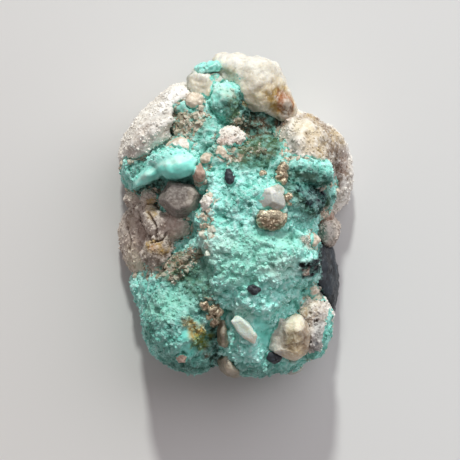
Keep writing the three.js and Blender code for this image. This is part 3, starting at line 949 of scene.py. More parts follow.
class Effects:
    """The surface effects that several finishes share, each one node group."""

    def __init__(self) -> None:
        """Builds every group."""
        self.crumbs = self.build_crumbs()
        self.grit = self.build_grit()
        self.crevice_shade = self.build_crevice_shade()
        self.tinting = self.build_tinting()
        self.coating = self.build_coating()
        self.drift = self.build_drift()

    @staticmethod
    def start(
        name: str, inputs: dict[str, SocketKind], outputs: dict[str, SocketKind]
    ) -> tuple[bpy.types.NodeTree, Wiring, bpy.types.NodeOutputs, bpy.types.NodeInputs]:
        """Starts a node group.

        Args:
            name: The group's name.
            inputs: Its inputs and their kinds.
            outputs: Its outputs and their kinds.

        Returns:
            The group, the wiring in it, the sockets that its inputs come in by and those that its
            outputs go out by.
        """
        tree = bpy.data.node_groups.new(name, "ShaderNodeTree")
        for label, kind in inputs.items():
            tree.interface.new_socket(label, in_out="INPUT", socket_type=kind.value)
        for label, kind in outputs.items():
            tree.interface.new_socket(label, in_out="OUTPUT", socket_type=kind.value)
        wiring = Wiring(tree)
        return tree, wiring, wiring.node("NodeGroupInput").outputs, wiring.node("NodeGroupOutput").inputs

    def build_crumbs(self) -> bpy.types.NodeTree:
        """Builds crumbs that lie side by side: a height, the gaps between them and a tone for each."""
        tree, wiring, given, out = self.start(
            "crumbs",
            {"Vector": SocketKind.VECTOR, "Size": SocketKind.VALUE},
            {"Height": SocketKind.VALUE, "Gap": SocketKind.VALUE, "Tone": SocketKind.VALUE},
        )
        away, own = wiring.cells(wiring.moved(given["Vector"], 0.7, 0.6), given["Size"])
        wiring.feed(out["Height"], wiring.step(away, 0.0, 0.75, 1.0, 0.0))
        wiring.feed(out["Gap"], wiring.step(away, 0.45, 0.85))
        wiring.feed(out["Tone"], own)
        return tree

    def build_grit(self) -> bpy.types.NodeTree:
        """Builds fine grit: a height and a speckle for stone that is grained all over."""
        tree, wiring, given, out = self.start(
            "grit",
            {"Vector": SocketKind.VECTOR, "Size": SocketKind.VALUE},
            {"Height": SocketKind.VALUE, "Speckle": SocketKind.VALUE},
        )
        wide = wiring.noise(given["Vector"], given["Size"], 5.0, 0.7)
        away, own = wiring.cells(given["Vector"], given["Size"])
        wiring.feed(out["Height"], wiring.math("MULTIPLY", wide, wiring.step(away, 0.1, 0.8, 1.0, 0.35)))
        speckle = wiring.math("ADD", wiring.math("MULTIPLY", own, 0.6), wiring.math("MULTIPLY", wide, 0.45))
        wiring.feed(out["Speckle"], speckle)
        return tree

    def build_crevice_shade(self) -> bpy.types.NodeTree:
        """Builds painted shade: a darker colour multiplied into the hollows, broken up by noise."""
        tree, wiring, given, out = self.start(
            "crevice shade",
            {
                "Vector": SocketKind.VECTOR,
                "Color": SocketKind.COLOUR,
                "Dirt": SocketKind.COLOUR,
                "Hollow": SocketKind.VALUE,
                "Amount": SocketKind.VALUE,
            },
            {"Color": SocketKind.COLOUR},
        )
        broken = wiring.noise(given["Vector"], 0.7, 4.0, 0.65)
        reach = wiring.math("MULTIPLY", given["Hollow"], wiring.step(broken, 0.3, 0.62, 0.55, 1.2))
        mask = wiring.math("MULTIPLY", reach, given["Amount"])
        darkened = wiring.mixed(given["Color"], given["Dirt"], mask, Blend.MULTIPLY)
        wiring.feed(out["Color"], darkened)
        return tree

    def build_tinting(self) -> bpy.types.NodeTree:
        """Builds a tint that soaks in unevenly."""
        tree, wiring, given, out = self.start(
            "tinting",
            {
                "Vector": SocketKind.VECTOR,
                "Color": SocketKind.COLOUR,
                "Tint": SocketKind.COLOUR,
                "Weight": SocketKind.VALUE,
            },
            {"Color": SocketKind.COLOUR},
        )
        broken = wiring.noise(given["Vector"], 0.8, 5.0, 0.65)
        reach = wiring.math("MULTIPLY", given["Weight"], wiring.step(broken, 0.3, 0.65, 0.55, 1.15))
        wiring.feed(out["Color"], wiring.mixed(given["Color"], given["Tint"], reach))
        return tree

    def build_coating(self) -> bpy.types.NodeTree:
        """Builds a coat of grains of two colours, with bare places where it is thin."""
        tree, wiring, given, out = self.start(
            "coating",
            {
                "Vector": SocketKind.VECTOR,
                "Color": SocketKind.COLOUR,
                "Coat": SocketKind.VALUE,
                "First": SocketKind.COLOUR,
                "Second": SocketKind.COLOUR,
                "Third": SocketKind.COLOUR,
                "Size": SocketKind.VALUE,
            },
            {"Color": SocketKind.COLOUR, "Mask": SocketKind.VALUE},
        )
        where = wiring.moved(given["Vector"], 0.9, 0.7)
        _, own = wiring.cells(where, given["Size"])
        slow = wiring.noise(given["Vector"], 1.7, 2.0, 0.5)
        grains = wiring.mixed(given["First"], given["Second"], wiring.step(own, 0.25, 0.6))
        stretches = wiring.math("MULTIPLY", wiring.step(slow, 0.45, 0.62), 0.8)
        grains = wiring.mixed(grains, given["Third"], stretches)
        broken = wiring.noise(where, 0.75, 4.0, 0.62)
        level = wiring.node("ShaderNodeMath", operation="ADD")
        wiring.feed(level.inputs[0], given["Coat"])
        wiring.feed(level.inputs[1], broken)
        mask = wiring.step(level.outputs[0], 0.92, 1.08)
        wiring.feed(out["Mask"], mask)
        wiring.feed(out["Color"], wiring.mixed(given["Color"], grains, mask))
        return tree

    def build_drift(self) -> bpy.types.NodeTree:
        """Builds a slow drift between two colours over a few millimetres."""
        tree, wiring, given, out = self.start(
            "drift",
            {
                "Vector": SocketKind.VECTOR,
                "First": SocketKind.COLOUR,
                "Second": SocketKind.COLOUR,
                "Size": SocketKind.VALUE,
            },
            {"Color": SocketKind.COLOUR},
        )
        slow = wiring.noise(given["Vector"], given["Size"], 3.0, 0.6)
        share = wiring.step(slow, 0.36, 0.64)
        wiring.feed(out["Color"], wiring.mixed(given["First"], given["Second"], share))
        return tree


@dataclass
class Bench:
    """What a finish is built on: its material's wiring, its shader and the shared effects."""

    material: bpy.types.Material
    wiring: Wiring
    shader: bpy.types.Node
    effects: Effects
    where: bpy.types.NodeSocket

    @classmethod
    def start(cls, name: str, effects: Effects) -> "Bench":
        """Starts a material with one shader.

        Args:
            name: The material's name.
            effects: The shared effects.

        Returns:
            The bench to build the finish on.
        """
        material = bpy.data.materials.new(name)
        material.use_nodes = True
        material.node_tree.nodes.clear()
        wiring = Wiring(material.node_tree)
        shader = wiring.node("ShaderNodeBsdfPrincipled")
        out = wiring.node("ShaderNodeOutputMaterial")
        wiring.feed(out.inputs["Surface"], shader.outputs[0])
        where = wiring.node("ShaderNodeTexCoord").outputs["Object"]
        return cls(material, wiring, shader, effects, where)

    def tinted(self, colour: object) -> bpy.types.NodeSocket:
        """Lays the painted tints over a colour."""
        made = self.wiring.node("ShaderNodeAttribute", attribute_name=TINT)
        tint, weight = made.outputs["Color"], made.outputs["Alpha"]
        return self.wiring.group(
            self.effects.tinting, Vector=self.where, Color=colour, Tint=tint, Weight=weight
        ).outputs[0]

    def coated(self, colour: object, hues: tuple[Colour, Colour, Colour], size: float) -> bpy.types.Node:
        """Lays a coat of a neighbour's grains over a colour.

        Args:
            colour: The colour below.
            hues: The two colours of the coat's grains, and that of some stretches of it.
            size: The width of a grain.

        Returns:
            The node that puts out the colour and the coat's mask.
        """
        return self.wiring.group(
            self.effects.coating,
            Vector=self.where, Color=colour, Coat=self.wiring.mark(Mark.COAT),
            First=hues[0], Second=hues[1], Third=hues[2], Size=size,
        )

    def shaded_in_hollows(self, colour: object, hollow_shade: Colour, amount: float) -> bpy.types.NodeSocket:
        """Darkens a colour in the hollows with painted shade."""
        return self.wiring.group(
            self.effects.crevice_shade,
            Vector=self.where, Color=colour, Dirt=hollow_shade, Hollow=self.wiring.mark(Mark.CAVITY), Amount=amount,
        ).outputs[0]

    def bump(
        self, height: bpy.types.NodeSocket, depth: float, under: object = None
    ) -> bpy.types.NodeSocket:
        """Turns a height into a normal.

        Args:
            height: The socket of the height.
            depth: The depth of the bumps.
            under: The normal of coarser bumps below them, if any.

        Returns:
            The socket of the normal.
        """
        made = self.wiring.node("ShaderNodeBump")
        made.inputs["Strength"].default_value = 1.0
        made.inputs["Distance"].default_value = depth * MM
        self.wiring.feed(made.inputs["Height"], height)
        if under is not None:
            self.wiring.feed(made.inputs["Normal"], under)
        return made.outputs[0]

    def see_through(self, share: float, depth: float) -> None:
        """Lets light pass a little way under the surface.

        Args:
            share: How much of the light does.
            depth: How far it goes, in millimetres.
        """
        self.shader.inputs["Subsurface Weight"].default_value = share
        self.shader.inputs["Subsurface Radius"].default_value = (1.0, 0.85, 0.6)
        self.shader.inputs["Subsurface Scale"].default_value = depth * MM

    def close(self, colour: object, roughness: object, normal: object) -> None:
        """Feeds the shader with the finished colour, roughness and normal."""
        self.wiring.feed(self.shader.inputs["Base Color"], colour)
        self.wiring.feed(self.shader.inputs["Roughness"], roughness)
        self.wiring.feed(self.shader.inputs["Normal"], normal)


# Finishes

TURQUOISE_COAT = (screen_colour(166, 234, 224), screen_colour(120, 200, 186), screen_colour(86, 160, 144))
SAND_COAT = (screen_colour(226, 218, 204), screen_colour(178, 160, 140), screen_colour(146, 126, 102))
COAT_GRAIN = 0.5


class Finish(ABC):
    """A kind of surface that becomes a material."""

    def build(self, name: str, effects: Effects) -> bpy.types.Material:
        """Builds the material.

        Args:
            name: Its name.
            effects: The shared effects.

        Returns:
            The material.
        """
        bench = Bench.start(name, effects)
        self.dress(bench)
        return bench.material

    @abstractmethod
    def dress(self, bench: Bench) -> None:
        """Lays the finish's colours, coats and bumps on the shader of a bench."""


@dataclass(frozen=True)
class TurquoiseFinish(Finish):
    """Turquoise: mint crumbs with pale tops, partly a painted highlight, painted shade in gaps and hollows,
    sandy where stones touch it.
    """

    body: Colour = screen_colour(172, 241, 231)
    green: Colour = screen_colour(140, 222, 208)
    # The top colour lightens the tops, partly a painted highlight; the deep colour paints shade into the
    # gaps.
    top: Colour = screen_colour(216, 248, 244)
    deep: Colour = screen_colour(102, 170, 160)
    crumb_size: float = 0.6
    fine_size: float = 0.26
    drift_size: float = 2.6
    mottle_size: float = 0.55
    sand_size: float = 0.42
    crumb_depth: float = 0.1
    fine_depth: float = 0.05
    roughness: float = 0.5
    shine: float = 0.35

    def dress(self, bench: Bench) -> None:
        """Lays the finish's colours, coats and bumps on the shader of a bench."""
        w = bench.wiring
        rough_part = w.math("SUBTRACT", 1.0, w.mark(Mark.TONE))
        large = w.group(bench.effects.crumbs, Vector=bench.where, Size=self.crumb_size)
        fine = w.group(bench.effects.crumbs, Vector=bench.where, Size=self.fine_size)
        colour = w.group(
            bench.effects.drift, Vector=bench.where, First=self.body, Second=self.green, Size=self.drift_size
        ).outputs[0]
        mottle = w.noise(bench.where, self.mottle_size, 4.0, 0.6)
        colour = w.mixed(colour, self.green, w.step(mottle, 0.5, 0.32, 0.0, 0.6))
        # Painted shade: the gaps between crumbs are darkened towards the deep green.
        gap_shade = w.math("MULTIPLY", w.math("MULTIPLY", large.outputs["Gap"], rough_part), 0.25)
        colour = w.mixed(colour, self.deep, gap_shade)
        # Pale tops on ridges, partly a painted highlight.
        tops = w.math("MULTIPLY", w.mark(Mark.RIDGE), w.step(mottle, 0.34, 0.6, 0.2, 0.7))
        colour = w.mixed(colour, self.top, w.math("MULTIPLY", tops, w.step(rough_part, 0.0, 1.0, 0.5, 0.8)))
        colour = bench.tinted(colour)
        coat = bench.coated(colour, SAND_COAT, self.sand_size)
        # Painted shade in the hollows.
        colour = bench.shaded_in_hollows(coat.outputs["Color"], screen_colour(96, 152, 140), 0.7)
        height = w.math("MULTIPLY", large.outputs["Height"], rough_part)
        coarse = bench.bump(height, self.crumb_depth)
        fine_height = w.math("MULTIPLY", fine.outputs["Height"], w.step(rough_part, 0.0, 1.0, 0.2, 1.0))
        normal = bench.bump(fine_height, self.fine_depth, coarse)
        bench.shader.inputs["Specular IOR Level"].default_value = self.shine
        low, high = self.roughness - 0.14, self.roughness + 0.12
        bench.close(colour, w.step(rough_part, 0.0, 1.0, low, high), normal)


@dataclass(frozen=True)
class GrainedFinish(Finish):
    """Stone made of grains, such as sandstone: light and dark grains, stains, a fine sparkle, edges lightened
    partly as painted highlight, painted shade in hollows.
    """

    light: Colour
    body: Colour
    shade: Colour
    # The colour of the painted shade in hollows.
    hollow_shade: Colour = screen_colour(150, 130, 108)
    grain: float = 0.34
    roughness: float = 0.55
    bump: float = 0.05
    metallic: float = 0.0

    def dress(self, bench: Bench) -> None:
        """Lays the finish's colours, coats and bumps on the shader of a bench."""
        w = bench.wiring
        grit = w.group(bench.effects.grit, Vector=bench.where, Size=self.grain)
        fine = w.group(bench.effects.grit, Vector=bench.where, Size=self.grain * 0.45)
        own = w.math("MULTIPLY", w.mark(Mark.TONE), 0.35)
        tone = w.math("ADD", own, w.math("MULTIPLY", grit.outputs["Speckle"], 0.75))
        colour = w.mixed(self.shade, self.body, w.step(tone, 0.08, 0.45))
        colour = bench.tinted(w.mixed(colour, self.light, w.step(tone, 0.5, 0.95)))
        sparkle = w.math("MULTIPLY", w.step(fine.outputs["Speckle"], 0.62, 0.85), 0.35)
        colour = w.mixed(colour, self.light, sparkle)
        # Edges lightened, partly a painted highlight.
        colour = w.mixed(colour, self.light, w.math("MULTIPLY", w.mark(Mark.RIDGE), 0.4))
        coat = bench.coated(colour, TURQUOISE_COAT, COAT_GRAIN)
        # Painted shade in the hollows.
        colour = bench.shaded_in_hollows(coat.outputs["Color"], self.hollow_shade, 0.6)
        coarse = bench.bump(grit.outputs["Height"], self.bump)
        normal = bench.bump(fine.outputs["Height"], self.bump * 0.5, coarse)
        low, high = self.roughness - 0.12, self.roughness + 0.15
        bench.shader.inputs["Metallic"].default_value = self.metallic
        bench.close(colour, w.step(fine.outputs["Speckle"], 0.2, 0.8, high, low), normal)


@dataclass(frozen=True)
class QuartzFinish(Finish):
    """Milky quartz: cloudy and a little see-through, glassy on its faces, frosted on its grains; painted
    shade in hollows, edges lightened partly as painted highlight.
    """

    milk: Colour
    cloud: Colour
    depth: Colour
    # The colour of the painted shade in hollows.
    hollow_shade: Colour = screen_colour(156, 136, 104)
    grain: float = 0.7
    roughness: float = 0.3
    bump: float = 0.05
    translucence: float = 0.35

    def dress(self, bench: Bench) -> None:
        """Lays the finish's colours, coats and bumps on the shader of a bench."""
        w = bench.wiring
        colour = w.group(
            bench.effects.drift, Vector=bench.where, First=self.milk, Second=self.cloud, Size=1.8
        ).outputs[0]
        grit = w.group(bench.effects.grit, Vector=bench.where, Size=self.grain)
        fine = w.group(bench.effects.grit, Vector=bench.where, Size=self.grain * 0.4)
        colour = w.mixed(colour, self.depth, w.step(grit.outputs["Speckle"], 0.5, 0.15, 0.0, 0.5))
        colour = bench.tinted(colour)
        # Edges lightened, partly a painted highlight.
        colour = w.mixed(colour, self.milk, w.math("MULTIPLY", w.mark(Mark.RIDGE), 0.35))
        coat = bench.coated(colour, TURQUOISE_COAT, COAT_GRAIN)
        # Painted shade in the hollows.
        colour = bench.shaded_in_hollows(coat.outputs["Color"], self.hollow_shade, 0.8)
        coarse = bench.bump(grit.outputs["Height"], self.bump)
        normal = bench.bump(fine.outputs["Height"], self.bump * 0.5, coarse)
        bench.see_through(self.translucence, 1.2)
        roughness = w.step(grit.outputs["Speckle"], 0.2, 0.8, self.roughness + 0.2, self.roughness)
        bench.close(colour, roughness, normal)


@dataclass(frozen=True)
class DarkRockFinish(Finish):
    """Dark rock: blue-black, with fine pale streaks along its grain and painted shade in its hollows."""

    body: Colour = screen_colour(46, 54, 62)
    deep: Colour = screen_colour(24, 27, 33)
    streak: Colour = screen_colour(104, 114, 124)
    streak_width: float = 0.35
    streak_turn: float = 24.0
    grain: float = 0.3

    def dress(self, bench: Bench) -> None:
        """Lays the finish's colours, coats and bumps on the shader of a bench."""
        w = bench.wiring
        colour = w.group(
            bench.effects.drift, Vector=bench.where, First=self.body, Second=self.deep, Size=2.4
        ).outputs[0]
        along = w.stretched(bench.where, (1.0, 0.25, 0.5), (0.0, 0.0, self.streak_turn))
        fibre = w.noise(along, self.streak_width, 4.0, 0.7)
        colour = w.mixed(colour, self.streak, w.step(fibre, 0.54, 0.72, 0.0, 0.6))
        grit = w.group(bench.effects.grit, Vector=bench.where, Size=self.grain)
        colour = w.mixed(colour, self.streak, w.step(grit.outputs["Speckle"], 0.74, 0.92, 0.0, 0.35))
        coat = bench.coated(bench.tinted(colour), TURQUOISE_COAT, COAT_GRAIN)
        # Painted shade in the hollows.
        colour = bench.shaded_in_hollows(coat.outputs["Color"], self.body, 0.8)
        coarse = bench.bump(fibre, 0.08)
        normal = bench.bump(grit.outputs["Height"], 0.04, coarse)
        bench.close(colour, w.step(grit.outputs["Speckle"], 0.2, 0.8, 0.62, 0.4), normal)


class Finishes:
    """All the materials of the specimen."""

    def __init__(self, effects: Effects) -> None:
        """Builds every material from the shared effects."""
        self.turquoise = TurquoiseFinish().build("turquoise", effects)
        self.dark_rock = DarkRockFinish().build("dark rock", effects)
        self.cream_quartz = QuartzFinish(
            milk=screen_colour(232, 228, 217), cloud=screen_colour(216, 206, 186),
            depth=screen_colour(198, 184, 156), roughness=0.42, grain=0.36, bump=0.07, translucence=0.5,
        ).build("cream quartz", effects)
        self.grey_quartz = QuartzFinish(
            milk=screen_colour(206, 208, 198), cloud=screen_colour(172, 174, 162),
            depth=screen_colour(140, 138, 124), roughness=0.24, grain=0.6, bump=0.04, translucence=0.5,
        ).build("grey quartz", effects)
        self.brown_quartz = QuartzFinish(
            milk=screen_colour(168, 160, 144), cloud=screen_colour(140, 130, 110),
            depth=screen_colour(98, 88, 68), roughness=0.35, grain=0.6, bump=0.05,
        ).build("brown quartz", effects)
        self.pale_sandstone = GrainedFinish(
            light=screen_colour(244, 241, 236), body=screen_colour(222, 215, 205),
            shade=screen_colour(198, 188, 176),
        ).build("pale sandstone", effects)
        self.brown_sandstone = GrainedFinish(
            light=screen_colour(220, 210, 200), body=screen_colour(184, 171, 160),
            shade=screen_colour(148, 133, 120), hollow_shade=screen_colour(120, 98, 76), roughness=0.65,
        ).build("brown sandstone", effects)
        self.grey_stone = GrainedFinish(
            light=screen_colour(150, 142, 136), body=screen_colour(116, 107, 101),
            shade=screen_colour(90, 82, 78), hollow_shade=screen_colour(130, 118, 108), grain=0.26, roughness=0.6,
            bump=0.05,
        ).build("grey stone", effects)
        self.tan_stone = GrainedFinish(
            light=screen_colour(236, 226, 210), body=screen_colour(198, 180, 158),
            shade=screen_colour(150, 132, 112), grain=0.3, roughness=0.45,
        ).build("tan stone", effects)
        self.rosy_stone = GrainedFinish(
            light=screen_colour(208, 184, 168), body=screen_colour(166, 136, 120),
            shade=screen_colour(128, 102, 88), grain=0.3, roughness=0.45,
        ).build("rosy stone", effects)
        self.pyrite = GrainedFinish(
            light=screen_colour(240, 224, 196), body=screen_colour(136, 116, 92),
            shade=screen_colour(80, 66, 52), hollow_shade=screen_colour(90, 74, 56), grain=0.26, roughness=0.36,
            bump=0.1, metallic=0.6,
        ).build("pyrite", effects)


# Sub-assemblies

SANDY_NODES = (
    "sandstone_shoulder_left", "sandstone_shoulder_right", "sandstone_block_left",
    "sandstone_lump_below_slab", "sandstone_pebble_right", "sandstone_rind_lower_right",
    "tan_chip_by_shoulder", "tan_chip_above_slab",
    "sparkling_chip_centre", "tan_grain_below_chip", "round_tan_grain", "rosy_grain_by_slab",
    "sparkling_grain_by_pebble", "rosy_grain_right", "tan_grain_right", "beige_grain_lower_right",
)
CLEAN_NODES = (
    "quartz_crest", "quartz_chip_by_crest", "quartz_nodule_lower_right", "quartz_nub_at_foot",
    "quartz_vein_upper", "quartz_vein_lower", "quartz_sliver", "quartz_crystal_centre", "grey_pebble",
    "pyrite_half_disc", "pyrite_pair_right_of_crystal", "pyrite_lump_above_crystal",
    "pyrite_cluster_at_cleft", "rosy_grain_in_lobe",
)


@dataclass(frozen=True)
class CrustRelief:
    """The widths and heights of the crust's mounds, ridges, crumbs and waves, and its small holes."""

    swell: float = 0.1
    mound: float = 2.2
    mound_height: float = 0.3
    ridge: float = 1.7
    ridge_height: float = 0.18
    fine_ridge: float = 0.95
    fine_ridge_height: float = 0.13
    crumb: float = 0.85
    crumb_height: float = 0.2
    small_crumb: float = 0.52
    small_crumb_height: float = 0.13
    wave: float = 1.5
    wave_height: float = 0.16
    hole_spacing: float = 1.7
    hole_depth: float = 0.4

    def raise_on(self, carving: Carving, calm: Array) -> None:
        """Raises the relief on a piece of the crust.

        Args:
            carving: The piece.
            calm: How smooth each of its points stays, from 0 to 1.
        """
        points = warped(carving.points, 1.6, 0.45, 3)
        bent = warped(points, 0.7, 0.16, 9)
        mound, _ = crumbs(points, self.mound, 13)
        crumb, _ = crumbs(points, self.crumb, 23)
        small, _ = crumbs(bent, self.small_crumb, 43)
        rough = self.ridge_height * ridged_noise(points, self.ridge, 17)
        rough += self.fine_ridge_height * ridged_noise(bent, self.fine_ridge, 19)
        rough += self.crumb_height * crumb + self.small_crumb_height * small
        height = self.mound_height * mound * (1.0 - 0.6 * calm) + rough * (1.0 - 0.88 * calm)
        height += self.wave_height * soft_noise(points, self.wave, 29) * calm
        carving.push(self.swell + height - height.mean())
        away, own = nearest_cells(points, self.hole_spacing, 71)
        hole = (1.0 - eased(away, 0.08, 0.28)) * (own > 0.74) * (1.0 - calm)
        carving.push(-self.hole_depth * hole)


@dataclass
class TurquoiseCrust:
    """The turquoise itself: the grown mass and the cap on the chip, with the rubble that lies on them."""

    finishes: Finishes
    voxel: float = 0.212
    cap_voxel: float = 0.1
    lap: float = 0.34
    crumb_cover: float = 0.1
    rubble_cover: float = 0.17
    relief: CrustRelief = CrustRelief()
    crumb_kind: GrainKind = GrainKind(size=0.42, spread=0.35, lift=-0.08, chunky=0.25, spacing=1.3)
    rubble_kind: GrainKind = GrainKind(size=0.5, spread=0.55, lift=-0.12, chunky=0.35, spacing=1.05)
    calm_patches: tuple[Patch, ...] = (
        Patch(-8.33, 6.26, 3.58, 1.93, 8.0, 1.3, 0.05),
        Patch(-12.6, 4.89, 3.3, 1.24, 36.0, 1.3, 0.05),
        Patch(-6.41, -18.51, 1.38, 1.1, 0.0, 0.9, 0.2),
        Patch(-6.82, -16.3, 1.1, 0.83, 40.0, 0.85, 0.2),
        Patch(-13.15, -9.84, 0.96, 1.1, 0.0, 0.8, 0.2),
        Patch(3.77, -16.3, 1.24, 2.75, 20.0, 0.8, 0.3),
        Patch(5.98, -2.96, 3.03, 1.1, -8.0, 0.55, 0.3),
        Patch(4.6, -7.91, 2.34, 0.69, -10.0, 0.6, 0.3),
        Patch(-6.13, 15.07, 0.69, 1.1, 0.0, 0.8, 0.1),
        Patch(-7.65, 14.79, 0.55, 0.69, 0.0, 0.8, 0.1),
        Patch(-1.73, 16.72, 1.93, 1.65, 20.0, 0.6, 0.3),
        Patch(9.42, 4.47, 3.3, 1.24, -8.0, 0.5, 0.3),
    )
    # Besides the turquoise's own darker and paler greens, many of these dabs paint light and shade: the teal,
    # deep green, olive and umber dabs in the valley below the crest, under the slab, under the right
    # shoulder, in the cleft, on the left slope and along the lower lobes paint shade; the mint and frost dabs
    # on the centre partly paint light, and the thin frost strips along the slab paint its highlight.
    tints: tuple[Tint, ...] = (
        dab(Hue.TEAL, -8.61, -14.1, 6.05, 6.6, 0.0, 0.42),
        dab(Hue.MINT, -9.43, -12.45, 3.58, 2.2, 10.0, 0.6),
        dab(Hue.TEAL, 2.4, 12.04, 3.58, 4.95, 10.0, 0.5),
        dab(Hue.OLIVE, 2.12, 10.12, 3.72, 3.72, 0.0, 1.2, 0.3),
        dab(Hue.SHADED_GREEN, 2.95, 13.01, 2.61, 2.34, 0.0, 0.9),
        dab(Hue.UMBER, 2.4, 12.04, 2.75, 1.93, 0.0, 0.8),
        dab(Hue.UMBER, 2.67, 8.19, 2.75, 0.96, 0.0, 0.4),
        dab(Hue.OLIVE, 0.2, 14.79, 1.79, 2.34, 0.0, 1.0),
        dab(Hue.SHADED_GREEN, 1.16, 15.07, 0.96, 2.34, 0.0, 1.1),
        dab(Hue.SHADED_GREEN, -2.28, 14.79, 1.65, 0.69, 20.0, 0.5),
        dab(Hue.SAND, -1.18, 16.72, 1.38, 0.96, 0.0, 0.35),
        dab(Hue.TEAL, 3.5, 6.81, 3.03, 1.1, 0.0, 0.5),
        dab(Hue.OLIVE, -6.68, 12.59, 3.72, 2.48, 0.0, 0.5),
        dab(Hue.OLIVE, -2.0, 8.74, 3.03, 1.93, 0.0, 0.4),
        dab(Hue.HONEY, 2.54, 15.48, 2.06, 0.69, 5.0, 1.2, 0.15),
        dab(Hue.OCHRE, 5.01, 14.66, 1.1, 0.69, 20.0, 0.9, 0.15),
        dab(Hue.RUST, 6.11, 13.97, 0.83, 1.24, 20.0, 0.9, 0.15),
        dab(Hue.UMBER, 5.98, 12.59, 0.69, 1.38, 10.0, 0.9, 0.2),
        dab(Hue.OLIVE, 10.93, 2.69, 4.95, 2.48, -30.0, 1.3, 0.3),
        dab(Hue.SHADED_GREEN, 11.21, 2.41, 4.68, 2.2, -30.0, 1.4, 0.3),
        dab(Hue.SAND, 9.42, 5.16, 2.48, 0.69, -8.0, 0.35),
        dab(Hue.SHADED_GREEN, 8.73, 0.21, 3.03, 1.24, -10.0, 0.5),
        dab(Hue.SHADED_GREEN, 14.37, 1.45, 1.65, 1.93, 0.0, 0.8),
        dab(Hue.TEAL, 9.83, 5.3, 3.85, 1.51, -8.0, 0.7),
        dab(Hue.TEAL, -13.7, 7.36, 1.65, 1.65, 0.0, 0.4),
        dab(Hue.SHADED_GREEN, -13.29, 7.5, 0.96, 0.83, 0.0, 0.5),
        dab(Hue.SHADED_GREEN, -12.05, 3.24, 3.85, 1.1, 25.0, 1.5, 0.15),
        dab(Hue.UMBER, -11.91, 2.69, 3.3, 0.55, 25.0, 0.7),
        dab(Hue.SHADED_GREEN, -6.96, 4.61, 3.03, 0.69, 0.0, 0.8),
        dab(Hue.OLIVE, -5.17, -7.22, 4.13, 2.61, 60.0, 0.65),
        dab(Hue.OLIVE, -8.61, -7.22, 2.61, 2.06, 0.0, 0.8),
        dab(Hue.OLIVE, -4.48, -10.52, 2.48, 1.38, 0.0, 0.5),
        dab(Hue.TEAL, -7.65, -20.43, 5.5, 1.65, 0.0, 0.6),
        dab(Hue.SHADED_GREEN, -8.06, -21.26, 4.13, 0.96, 0.0, 0.5),
        dab(Hue.TEAL, -12.19, -16.85, 0.96, 3.03, -20.0, 0.5),
        dab(Hue.TEAL, 1.85, -21.53, 6.33, 1.1, 0.0, 0.55),
        dab(Hue.SHADED_GREEN, -3.24, -16.85, 0.69, 4.95, 0.0, 0.9),
        dab(Hue.TEAL, 5.98, -2.68, 2.89, 0.83, -8.0, 0.7),
        dab(Hue.TEAL, 5.98, 5.99, 1.93, 1.24, 0.0, 0.4),
        dab(Hue.TEAL, -0.08, 2.13, 1.65, 1.65, 0.0, 0.25),
        dab(Hue.MINT, 2.12, -5.85, 6.05, 3.58, 10.0, 0.65),
        dab(Hue.FROST, -2.97, -3.78, 2.75, 1.93, 20.0, 0.5),
        dab(Hue.FROST, 6.8, -7.22, 3.3, 1.79, 10.0, 0.5),
        dab(Hue.FROST, 0.47, -13.55, 1.65, 1.38, 0.0, 0.5),
        dab(Hue.FROST, -2.83, 17.82, 1.24, 0.96, 0.0, 0.6),
        dab(Hue.CYAN, -8.06, 6.13, 3.3, 1.51, 8.0, 0.8, 0.15),
        dab(Hue.CYAN, -12.6, 4.89, 3.03, 0.96, 36.0, 0.5),
        dab(Hue.FROST, -8.06, 7.5, 2.75, 0.55, 12.0, 0.7),
        dab(Hue.FROST, -12.46, 5.44, 2.34, 0.34, 36.0, 0.5),
        dab(Hue.CYAN, -6.82, -16.3, 1.1, 0.69, 40.0, 0.85, 0.2),
        dab(Hue.CYAN, -6.41, -18.51, 1.24, 0.96, 0.0, 0.85, 0.2),
        dab(Hue.CYAN, 3.77, -16.03, 1.1, 2.34, 20.0, 0.75),
        dab(Hue.CYAN, -13.15, -9.84, 0.83, 0.96, 0.0, 0.6),
        dab(Hue.CYAN, -6.13, 15.07, 0.69, 0.96, 0.0, 0.6),
        dab(Hue.MINT, 12.58, -15.2, 0.83, 3.03, -10.0, 0.6),
        dab(Hue.OCHRE, -6.41, -14.79, 1.24, 0.69, -30.0, 0.75, 0.25),
        dab(Hue.OCHRE, -5.44, -15.89, 1.24, 1.24, -50.0, 0.9, 0.25),
        dab(Hue.MOSS, -4.62, -17.27, 1.24, 1.65, -50.0, 0.9, 0.25),
        dab(Hue.UMBER, -4.21, -18.92, 0.55, 0.83, 0.0, 0.7),
        dab(Hue.BLACK, -10.26, -18.37, 0.41, 0.36, 0.0, 0.9, 0.2),
        dab(Hue.BLACK, 10.52, -7.22, 1.93, 1.1, 25.0, 1.5, 0.1),
        dab(Hue.BLACK, 12.03, -5.85, 0.96, 2.75, 0.0, 1.5, 0.1),
        dab(Hue.BLACK, 12.31, -10.25, 1.1, 2.75, 0.0, 1.5, 0.1),
        dab(Hue.BLACK, 12.86, -13.28, 0.55, 1.93, -10.0, 1.5, 0.1),
        dab(Hue.BLACK, 8.87, -6.67, 0.69, 0.41, 0.0, 1.2, 0.1),
        dab(Hue.ROSY, 9.55, -7.77, 0.55, 0.69, 0.0, 0.8, 0.1),
        dab(Hue.GREY, 10.93, -6.95, 0.96, 0.17, 40.0, 0.8, 0.1),
        dab(Hue.TEAL, 10.38, -9.97, 1.24, 1.1, 0.0, 0.5),
        dab(Hue.ROSY, 10.1, -3.51, 1.38, 0.96, 0.0, 0.7),
        dab(Hue.ROSY, 12.44, 0.21, 1.38, 0.96, 0.0, 0.9, 0.2),
        dab(Hue.CREAM, 11.07, -11.21, 0.69, 0.83, 0.0, 1.0, 0.2),
        dab(Hue.CREAM, 9.97, -10.52, 0.48, 0.69, 0.0, 1.0, 0.2),
        dab(Hue.FROST, 6.25, 0.76, 0.55, 0.55, 0.0, 0.7),
        dab(Hue.BROWN, 7.9, -19.88, 0.83, 0.55, 0.0, 0.7),
    )
